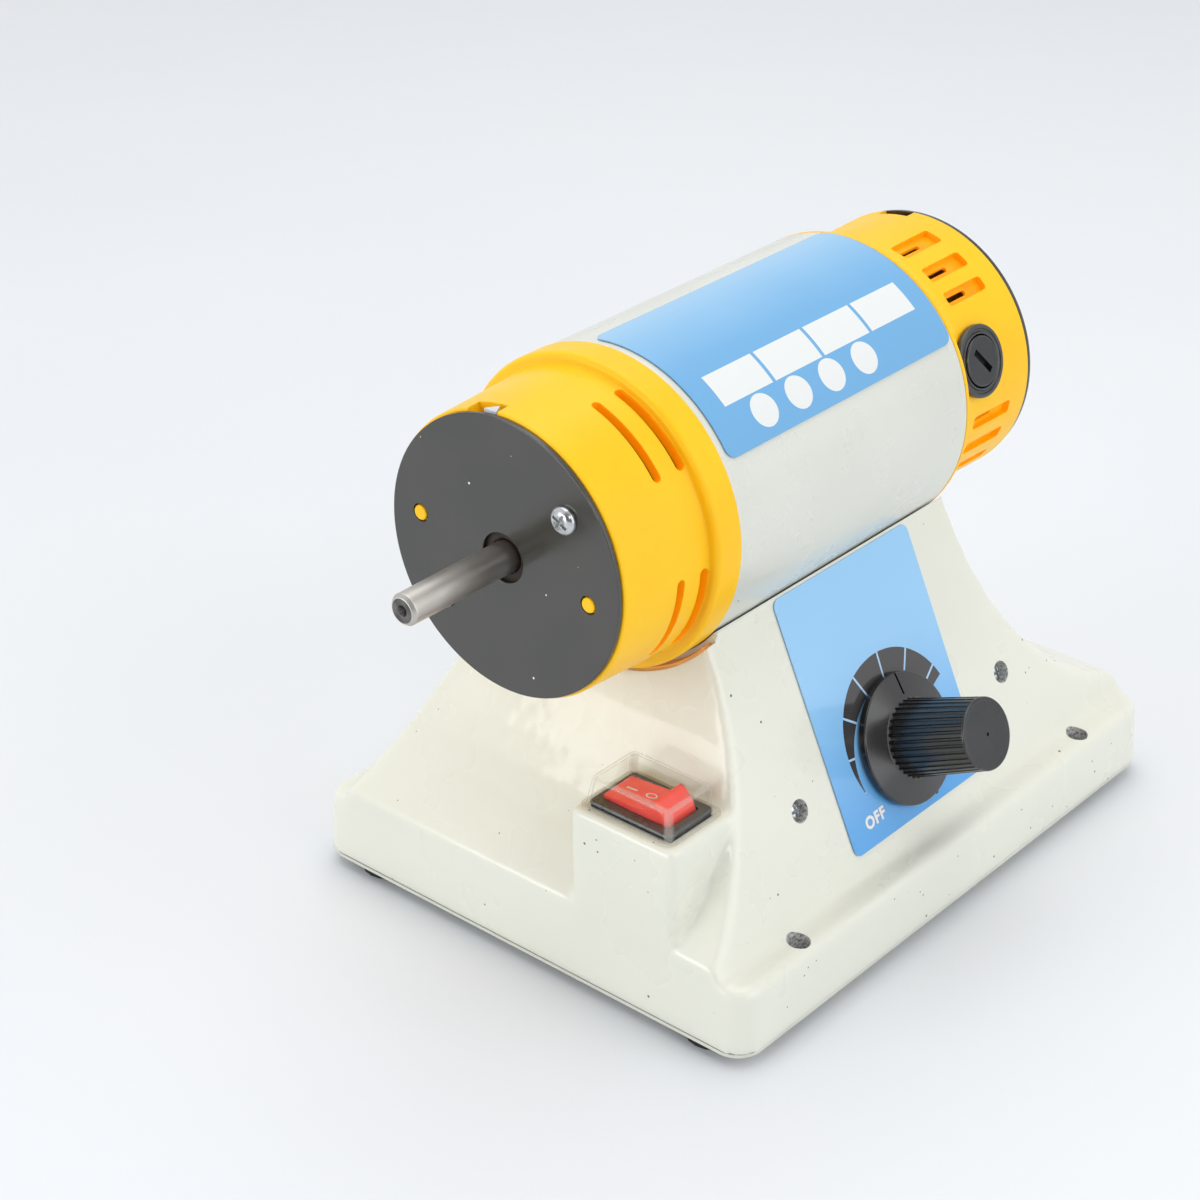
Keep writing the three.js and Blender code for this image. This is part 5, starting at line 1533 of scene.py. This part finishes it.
@dataclass
class BaseCasting:
    """The painted casting: its solid is remeshed and softened as thick paint leaves it."""

    voxel: float = 1.05
    soften: int = 4
    foot_line: float = 1.2
    saddle: float = 42.5
    recess: float = 44.6
    bench_x: float = 69.2
    bench_y: Flat = (-8.0, 122.5)
    bench_hole: float = 3.1
    flank_hole: float = 3.1
    flank_hole_depth: float = 3.4
    dial_hole: float = 4.7
    fill_over: float = 0.5
    seat_x: float = 13.2
    seat_y: float = 8.2
    ring_inside: float = 0.9
    ring_outside: float = 0.15
    ring_ends: Flat = (-3.3, 0.2)
    ring_setback: float = 3.0

    def bench_places(self) -> list[Flat]:
        """The x and y of the four bench bolt holes."""
        return [(side * self.bench_x, y) for side in (-1, 1) for y in self.bench_y]

    def fillers(self) -> list[Form]:
        """Shapes what closes the hollow, the saddle and the holes before the surface is softened.

        Returns:
            The forms that are joined to the casting.
        """
        wedge = Form.prism([(-64, 12, 0), (64, 12, 0), (34.5, 80, 0), (-34.5, 80, 0)], -99, 0.5).moved(Y_TO_Z)
        closed = [
            Form.block((-70.5, -33, 0.3), (70.5, 148, 14.5)), wedge,
            Form.rod(self.saddle - 0.2, (0, -2.95, AXIS_HEIGHT), (0, 101.45, AXIS_HEIGHT), 128),
            Form.rod(self.recess - 0.2, (0, -2.9, AXIS_HEIGHT), (0, 0.2, AXIS_HEIGHT), 128),
            Form.block((19, -34.8, 10), (49.4, -8, 51.25)),
        ]
        for x, y in self.bench_places():
            closed.append(Form.rod(self.bench_hole + self.fill_over, (x, y, 5), (x, y, 18.45), 24))
        for radius, place in ((3.5, FLANK_HOLES[0]), (3.5, FLANK_HOLES[1]), (5.4, DIAL)):
            closed.append(Form.rod(radius, (0, 0, -9), (0, 0, -0.03), 24).moved(flank_place(*place)))
        return closed

    def cutters(self) -> list[Form]:
        """Shapes what cuts the saddle, the holes and the switch's seat crisply.

        Returns:
            The forms that are cut away.
        """
        cuts = [
            Form.rod(self.saddle, (0, -50, AXIS_HEIGHT), (0, 160, AXIS_HEIGHT), 192),
            Form.rod(self.recess, (0, -50, AXIS_HEIGHT), (0, 0.3, AXIS_HEIGHT), 192),
            Form.plate(self.seat_x, self.seat_y, 0.5, -12, 4).moved(Matrix.Translation(SWITCH_SEAT)),
            Form.block((-80, -60, SEAM.z + 0.1), (80, 170, SEAM.z + 90)),
        ]
        for x, y in self.bench_places():
            cuts.append(Form.rod(self.bench_hole, (x, y, -3), (x, y, 24)))
        for place in FLANK_HOLES:
            hole = Form.rod(self.flank_hole, (0, 0, -self.flank_hole_depth), (0, 0, 3))
            cuts.append(hole.moved(flank_place(*place)))
        cuts.append(Form.rod(self.dial_hole, (0, 0, -9), (0, 0, 3)).moved(flank_place(*DIAL)))
        return cuts

    def build(self) -> None:
        """Makes the casting and the ring in its saddle, which carries the bell's painted reflection."""
        def remesh(stand_in: bpy.types.Object) -> None:
            """Adds the voxel remesh."""
            step = stand_in.modifiers.new("even", "REMESH")
            step.mode, step.voxel_size, step.adaptivity = "VOXEL", self.voxel, 0.0

        casting = Form.of_node("base_casting").joined(*self.fillers()).with_modifiers(remesh)
        for _ in range(self.soften):
            upper = [vert for vert in casting.mesh.verts if vert.co.z > self.foot_line]
            bmesh.ops.smooth_vert(casting.mesh, verts=upper, factor=0.5, use_axis_x=True, use_axis_y=True,
                                  use_axis_z=True)
        casting.cut(*self.cutters()).marked(1, self.in_hole)
        casting.piece("casting_painted", CREAM_PAINT, Body.BASE, "cream_paint", ["base_casting"], smooth=48,
                      further=[RAW_CASTING])
        self.saddle_painted_reflection()

    def saddle_painted_reflection(self) -> None:
        """Makes the smooth ring in the saddle's front lip, under the bell's flange, coloured and lit with the
        yellow bell's painted reflection.
        """
        end = math.degrees(math.atan2(AXIS_HEIGHT - SEAM.z, SEAM.x))
        radii = (self.recess - self.ring_inside, self.recess + self.ring_outside)
        low, high = self.ring_setback - 180 + end, -self.ring_setback - end
        ring = Form.swept(radii, self.ring_ends, low, high, 48).eased(0.25, 2, 60)
        ring.moved(ON_AXIS).piece("saddle_reflection_ring", SADDLE_REFLECTION_PAINT, Body.BASE, "cream_paint")

    def in_hole(self, face: bmesh.types.BMFace) -> bool:
        """Tells the walls and floors of the drilled holes.

        Args:
            face: A face of the casting.

        Returns:
            Whether it belongs to a hole.
        """
        middle = face.calc_center_median()
        for x, y in self.bench_places():
            if math.hypot(middle.x - x, middle.y - y) < self.bench_hole + 0.02:
                return True
        for place in FLANK_HOLES:
            local = flank_place(*place).inverted() @ middle
            if local.z > -6 and local.xy.length < self.flank_hole + 0.02:
                return True
        return False


@dataclass
class FlankScrews:
    """The two screws sunk in the flank."""

    screw: PanHead = PanHead(2.6, 1.8, 1.4, 7.0)
    sink: float = 3.2

    def build(self) -> None:
        """Makes both screws."""
        up = Matrix.Rotation(math.radians(-90), 4, "X")
        for end, place in zip(("front", "rear"), FLANK_HOLES):
            self.screw.form().moved(flank_place(*place, -self.sink), up).piece(
                f"screw_flank_{end}", ZINC, Body.BASE, "zinc_screw", [f"flank_screw_{end}"])


@dataclass
class SpeedLabel:
    """The film on the flank and its one word."""

    low_corner: Flat = (-30.5, -21.0)
    high_corner: Flat = (28.0, 51.4)
    corner: float = 2.5
    gap: float = 0.2
    thickness: float = 0.28
    bore: float = 6.7
    word: str = "OFF"
    word_size: float = 4.5
    word_rise: float = 0.05
    word_swell: float = 0.2
    word_place: Flat = (-23.3, -16.2)
    word_turn: float = 3.0

    def build(self) -> None:
        """Makes the film and the word at the dial's end."""
        seat, top = flank_place(*DIAL), self.gap + self.thickness
        film = Form.panel(self.low_corner, self.high_corner, self.corner, self.gap, top)
        film.cut(Form.rod(self.bore, (0, 0, -3), (0, 0, 3))).charted().moved(seat)
        film.piece("speed_label_film", SPEED_FILM, Body.BASE, "label_film", ["speed_label"])
        word = Form.lettering(self.word, self.word_size, self.word_rise, self.word_swell)
        word.moved(seat, Matrix.Translation((*self.word_place, top + 0.01)),
                   Matrix.Rotation(math.radians(self.word_turn), 4, "Z"))
        word.piece("speed_label_off", MARK_WHITE, Body.BASE, "label_film")


@dataclass
class SpeedKnob:
    """The knob: a skirt with a pointer groove and a ribbed grip."""

    bore: float = 3.3
    bore_end: float = 21.0
    skirt: float = 18.0
    skirt_bottom: float = 1.2
    skirt_edge: float = 3.4
    skirt_rise: float = 5.2
    grip: float = 10.6
    grip_end: float = 9.7
    reach: float = 29.5
    ribs: int = 34
    groove: float = 0.62
    cutter: float = 0.5
    pointer_half: float = 0.36
    pointer_ends: Flat = (12.0, 20.0)
    pointer_heights: Flat = (-0.6, 3.0)
    pointer_pivot: Flat = (14.4, 4.25)
    pointer_turn: float = -7.0
    nub: float = 0.9
    nub_inset: float = 0.2
    nub_heights: Flat = (1.5, 2.8)
    nub_turn: float = 14.0
    dimple: Flat = (0.6, -0.4)
    dimple_radii: Flat = (0.15, 0.8)

    def body(self) -> Form:
        """Turns the body.

        Returns:
            The body, its axis along Z.
        """
        return Form.turned([
            (0, self.bore_end, 0), (self.bore, self.bore_end, 0), (self.bore, self.skirt_bottom, 0),
            (self.skirt, self.skirt_bottom, 0.3), (self.skirt, self.skirt_edge, 0.45),
            (self.grip + 0.5, self.skirt_rise, 0.15), (self.grip, self.skirt_rise + 0.4, 0.1),
            (self.grip_end, self.reach, 0.45), (self.grip_end - 1.3, self.reach - 0.12, 0.1),
            (0, self.reach - 0.3, 0),
        ], 240).moved(Y_TO_Z)

    def grooves(self) -> Form:
        """Shapes the cutters between the ribs.

        Returns:
            All of them as one form.
        """
        near = self.grip + self.cutter - self.groove
        far = self.grip_end + self.cutter - self.groove * 0.8
        low, high = self.skirt_rise + 0.1, self.reach - 0.75
        rods = []
        for place in range(self.ribs):
            angle = math.tau * (place + 0.5) / self.ribs
            across, up = math.cos(angle), math.sin(angle)
            start, end = (across * near, up * near, low), (across * far, up * far, high)
            rods.append(Form.rod(self.cutter, start, end, 12))
        return rods[0].beside(*rods[1:])

    def pointer(self) -> Form:
        """Shapes the cutter of the pointer groove.

        Returns:
            The cutter, laid along the skirt's slope.
        """
        half, (near, far) = self.pointer_half, self.pointer_ends
        outline = [(-half, near, 0.1), (half, near, 0.1), (half, far, 0), (-half, far, 0)]
        along, up = self.pointer_pivot
        fall = math.atan2(self.skirt_rise - self.skirt_edge, self.skirt - self.grip)
        return Form.prism(outline, *self.pointer_heights).moved(
            Matrix.Rotation(math.radians(self.pointer_turn), 4, "Z"), Matrix.Translation((0, along, up)),
            Matrix.Rotation(-fall, 4, "X"), Matrix.Translation((0, -along, 0)),
        )

    def build(self) -> None:
        """Makes the knob with its ribs, pointer groove, dimple and nub."""
        edge, (low, high) = -self.skirt + self.nub_inset, self.nub_heights
        nub = Form.rod(self.nub, (0, edge, low), (0, edge, high), 24)
        nub.moved(Matrix.Rotation(math.radians(self.nub_turn), 4, "Z"))
        (x, y), (tip, rim) = self.dimple, self.dimple_radii
        dimple = Form.rod(tip, (x, y, self.reach - 1.2), (x, y, self.reach + 0.4), 16, rim)
        knob = self.body().cut(self.grooves(), self.pointer(), dimple).joined(nub)
        knob.moved(flank_place(*DIAL)).piece(
            "knob_speed", KNOB_PLASTIC, Body.KNOB, "black_plastic", ["speed_knob"], smooth=28)


@dataclass
class Switch:
    """The rocker switch under its clear cover."""

    bezel_x: float = 13.2
    bezel_y: float = 8.9
    bezel_low: float = 1.1
    bezel_high: float = 2.1
    bezel_corner: float = 1.4
    bezel_round: float = 0.75
    box: Point = (12.9, 7.9, -20.0)
    well_x: float = 10.7
    well_y: float = 6.0
    well_corner: float = 0.8
    rocker_x: float = 10.3
    rocker_y: float = 5.6
    rocker_foot: float = -4.5
    rocker_side: Flat = (-1.0, 3.6)
    wing: float = 6.4
    ridge: Flat = (6.4, 7.7)
    ridge_foot: Flat = (3.2, 5.2)
    rocker_round: float = 0.45
    tilt: float = 10.0
    pivot: float = -1.4
    mark_rise: float = 0.06
    mark_y: float = 0.2
    mark_places: Flat = (-5.4, 1.0)
    bar: Flat = (1.8, 0.25)
    ring: Flat = (0.85, 1.15)
    ring_stretch: float = 1.5
    cover_over: float = 1.05
    cover_height: float = 9.2
    cover_wall: float = 0.7
    cover_draft: float = 1.2
    cover_round: float = 1.7
    cover_corners: Flat = (1.9, 1.2)
    cover_lows: Flat = (0.3, -1.0)
    lip_over: float = 2.05
    lip_corner: float = 3.0
    lip_top: float = 0.85

    def build(self) -> None:
        """Makes the housing, the rocker with its marks, and the cover."""
        seat = Matrix.Translation(SWITCH_SEAT)
        x, y, low = self.box
        housing = Form.plate(self.bezel_x, self.bezel_y, self.bezel_corner, self.bezel_low, self.bezel_high)
        housing.eased(self.bezel_round, 3, 60, lambda middle: middle.z > self.bezel_high - 0.01)
        housing.joined(Form.block((-x, -y, low), (x, y, self.bezel_low + 0.2)))
        housing.cut(Form.plate(self.well_x, self.well_y, self.well_corner, -10, 6))
        housing.moved(seat).piece(
            "switch_frame", BEZEL_PLASTIC, Body.BASE, "black_plastic", ["switch_housing"])
        tilt = Matrix.Translation((0, 0, self.pivot)) @ Matrix.Rotation(math.radians(-self.tilt), 4, "Y")
        self.rocker(seat, tilt)
        self.marks(seat, tilt)
        self.cover(seat)

    def rocker(self, seat: Matrix, tilt: Matrix) -> None:
        """Makes the rocker.

        Args:
            seat: The switch's place.
            tilt: The rocker's lean about its pivot.
        """
        half, ridge, (low, high) = self.rocker_x, self.ridge, self.rocker_side
        outline = [
            (-half, low, 0.3), (0, self.rocker_foot, 1), (half, low, 0.3), (half, high, 0.8),
            (ridge[0] + 1.2, ridge[1] - 0.4, 0.6), (*ridge, 0.2), (*self.ridge_foot, 0.5),
            (-half, self.wing, 0.8),
        ]
        body = Form.prism(outline, -self.rocker_y, self.rocker_y).moved(Y_TO_Z)
        body.eased(self.rocker_round, 3, 50).moved(seat, tilt).piece(
            "rocker_cap", ROCKER_RED, Body.ROCKER, "rocker_red", ["switch_rocker"], smooth=38)

    def marks(self, seat: Matrix, tilt: Matrix) -> None:
        """Makes the bar and the ring on the rocker.

        Args:
            seat: The switch's place.
            tilt: The rocker's lean about its pivot.
        """
        run, drop = self.rocker_x + self.ridge_foot[0], self.wing - self.ridge_foot[1]
        slope = Matrix.Rotation(math.atan2(drop, run), 4, "Y")
        bar = Form.plate(*self.bar, 0.2, 0, self.mark_rise)
        inner, outer = self.ring
        section = ((inner, 0), (outer, 0), (outer, self.mark_rise), (inner, self.mark_rise))
        ring = Form.turned([(radius, along, 0) for radius, along in section], 48)
        ring.moved(Y_TO_Z, Matrix.Diagonal((self.ring_stretch, 1, 1, 1)))
        names = ("rocker_mark_on", "rocker_mark_off")
        for name, place, mark in zip(names, self.mark_places, (bar, ring)):
            height = self.ridge_foot[1] + drop / run * (self.ridge_foot[0] - place) + 0.02
            mark.moved(seat, tilt, Matrix.Translation((place, self.mark_y, height)), slope)
            mark.piece(name, MARK_WHITE, Body.ROCKER, "rocker_red")

    def dome(self, inset: float, low: float, corner: float) -> Form:
        """Shapes one skin of the cover: a rounded box with leaning walls.

        Args:
            inset: How far the skin lies inside the cover's outer faces.
            low: Its lower end.
            corner: The corners' round as seen from above.

        Returns:
            The closed skin.
        """
        x, y = (half + self.cover_over - inset for half in (self.bezel_x, self.bezel_y))
        top = self.cover_height - inset
        form = Form.plate(x, y, corner, low, top)
        for vert in form.mesh.verts:
            if vert.co.z > top - 0.01:
                vert.co.x -= math.copysign(self.cover_draft, vert.co.x)
                vert.co.y -= math.copysign(self.cover_draft, vert.co.y)
        return form.eased(self.cover_round - inset, 6, 40, lambda middle: middle.z > top - 0.01)

    def cover(self, seat: Matrix) -> None:
        """Makes the clear cover and its flange.

        Args:
            seat: The switch's place.
        """
        skins = zip((0.0, self.cover_wall), self.cover_lows, self.cover_corners)
        outer, inner = (self.dome(*skin) for skin in skins)
        lip = Form.plate(self.bezel_x + self.lip_over, self.bezel_y + self.lip_over, self.lip_corner,
                         self.cover_lows[0], self.lip_top)
        # The rounded edges and the flange take the painted refraction finish.
        outer.joined(lip).cut(inner).marked(1, self.is_rounded).moved(seat).piece(
            "switch_dome", CLEAR_COVER, Body.BASE, "clear_cover", ["switch_cover"], smooth=40,
            further=[CLEAR_PAINTED_REFRACTION])

    def is_rounded(self, face: bmesh.types.BMFace) -> bool:
        """Tells the cover's rounded edges and its flange from its flat walls.

        Args:
            face: A face of the cover.

        Returns:
            Whether it belongs to a rounded edge or to the flange.
        """
        on_lip = face.calc_center_median().z < self.lip_top + 0.01
        return on_lip or all(abs(part) < 0.98 for part in face.normal)


@dataclass
class CarriedNodes:
    """The CAD nodes that stay as they are, each with its finish."""

    finishes: dict[Finish, tuple[str, ...]] = field(default_factory=lambda: {
        PLATE_PAINT: ("base_cover_plate",),
        FOOT_RUBBER: ("foot_front_left", "foot_front_right", "foot_rear_left", "foot_rear_right",
                      "cord_grommet"),
        ZINC: ("foot_screw_front_left", "foot_screw_front_right", "foot_screw_rear_left",
               "foot_screw_rear_right", "motor_screw_front", "motor_screw_rear", "potentiometer_shaft",
               "potentiometer_nut"),
        # Painted shade: the bearings take the bore's dark.
        BEARING_PAINTED_SHADE: ("front_bearing", "rear_bearing"),
        CORE_STEEL: ("armature_core", "stator_core"),
        COPPER_WIRE: ("winding_front", "winding_rear", "field_coil_top", "field_coil_bottom"),
        COPPER_BAR: ("commutator",),
        BRASS: ("brush_spring_right", "brush_spring_left", "switch_terminal_left", "switch_terminal_right"),
        CARBON: ("carbon_brush_right", "carbon_brush_left"),
        FAN_PLASTIC: ("cooling_fan",),
        BRACKET_STEEL: ("control_bracket", "potentiometer_body"),
        BOARD_GREEN: ("control_board",),
        CAPACITOR_BLUE: ("control_capacitor",),
    })

    def build(self) -> None:
        """Gives each node its material."""
        for finish, nodes in self.finishes.items():
            for name in nodes:
                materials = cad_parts[name].data.materials
                materials.clear()
                materials.append(finish.material())
                LOG.info("%s: carried over in %s", name, finish.name)


@dataclass(frozen=True)
class Lamp:
    """A square soft light that faces a point, with its size in metres and its power in watts."""

    name: str
    place: Point
    target: Point
    size: float
    power: float
    color: Color = (1.0, 1.0, 1.0)

    def hang(self) -> None:
        """Adds the light to the scene."""
        data = bpy.data.lights.new(self.name, "AREA")
        data.shape, data.size, data.energy, data.color = "SQUARE", self.size, self.power, self.color
        holder = bpy.data.objects.new(self.name, data)
        aim = (Vector(self.target) - Vector(self.place)).to_track_quat("-Z", "Y").to_matrix().to_4x4()
        holder.matrix_world = Matrix.Translation(self.place) @ aim
        bpy.context.scene.collection.objects.link(holder)


@dataclass
class Studio:
    """The camera, the soft lights, the pale floor and the room's light."""

    camera_place: Point = (0.393342, -0.500148, 0.429284)
    azimuth: float = 41.149
    elevation: float = 28.891
    roll: float = -0.427
    lens: float = 81.187
    sensor: float = 36.0
    clip: Flat = (0.05, 20.0)
    lamps: tuple[Lamp, ...] = (
        Lamp("key", (-0.25, 0.15, 1.2), (0, 0, 0.08), 1.1, 5.5, (1.0, 0.99, 0.97)),
        Lamp("side", (1.2, 0.1, 0.5), (0, 0, 0.07), 1.4, 7.5),
        Lamp("front", (-0.4, -1.3, 0.14), (0, 0, 0.06), 0.9, 9.0, (1.0, 1.0, 0.99)),
        Lamp("flash", (0.62, -0.66, 0.62), (0, 0, 0.08), 0.22, 0.8),
    )
    floor_half: float = 4.0
    room_color: Color = shade(243, 244, 246)
    room_strength: float = 0.95
    dark_side: Point = (0.62, -0.72, 0.3)
    dark_span: Flat = (0.45, 0.95)
    dark_color: Color = shade(110, 110, 112)

    def build(self) -> None:
        """Makes the studio."""
        self.camera()
        for lamp in self.lamps:
            lamp.hang()
        floor = Form()
        bmesh.ops.create_grid(floor.mesh, x_segments=8, y_segments=8, size=self.floor_half)
        ground = floor.as_object("floor")
        ground.data.materials.append(FLOOR_PAINT.material())
        self.room()
        bpy.context.scene.view_settings.view_transform = "Standard"

    def room(self) -> None:
        """Lights the room: pale all round, darker on the camera's side."""
        world = bpy.data.worlds.new("room")
        bpy.context.scene.world = world
        world.use_nodes = True
        tree = world.node_tree
        back = tree.nodes["Background"]
        back.inputs["Strength"].default_value = self.room_strength
        around = tree.nodes.new("ShaderNodeTexCoord")
        facing = tree.nodes.new("ShaderNodeVectorMath")
        facing.operation = "DOT_PRODUCT"
        facing.inputs[1].default_value = self.dark_side
        reach = tree.nodes.new("ShaderNodeMapRange")
        reach.interpolation_type = "SMOOTHSTEP"
        reach.inputs["From Min"].default_value, reach.inputs["From Max"].default_value = self.dark_span
        blend = tree.nodes.new("ShaderNodeMix")
        blend.data_type = "RGBA"
        blend.inputs[6].default_value = (*self.room_color, 1.0)
        blend.inputs[7].default_value = (*self.dark_color, 1.0)
        for source, target in (
            (around.outputs["Generated"], facing.inputs[0]), (facing.outputs["Value"], reach.inputs["Value"]),
            (reach.outputs[0], blend.inputs[0]), (blend.outputs[2], back.inputs["Color"]),
        ):
            tree.links.new(source, target)

    def camera(self) -> None:
        """Places the camera at the photograph's angle."""
        angles = (self.azimuth, self.elevation, self.roll)
        azimuth, elevation, roll = (math.radians(value) for value in angles)
        back = Vector((math.sin(azimuth) * math.cos(elevation), -math.cos(azimuth) * math.cos(elevation),
                       math.sin(elevation)))
        right = (-back).cross(Vector((0, 0, 1))).normalized()
        up = back.cross(right)
        leaned_right = right * math.cos(roll) + up * math.sin(roll)
        leaned_up = up * math.cos(roll) - right * math.sin(roll)
        data = bpy.data.cameras.new("camera")
        data.lens, data.sensor_width = self.lens, self.sensor
        data.clip_start, data.clip_end = self.clip
        holder = bpy.data.objects.new("camera", data)
        turn = Matrix((leaned_right, leaned_up, back)).transposed().to_4x4()
        holder.matrix_world = Matrix.Translation(self.camera_place) @ turn
        bpy.context.scene.collection.objects.link(holder)
        bpy.context.scene.camera = holder


def main() -> None:
    """Builds the studio and each sub-assembly in order."""
    logging.basicConfig(level=logging.INFO, format="%(message)s")
    assemblies = [
        Studio(), BaseCasting(), FrontBell(), RearBell(), MotorTube(), CoverDiscs(), Spindle(), BrushGear(),
        FlankScrews(), SpeedLabel(), SpeedKnob(), Switch(), CarriedNodes(),
    ]
    for assembly in assemblies:
        assembly.build()
        LOG.info("%s is ready", type(assembly).__name__)


if __name__ == "__main__":
    main()
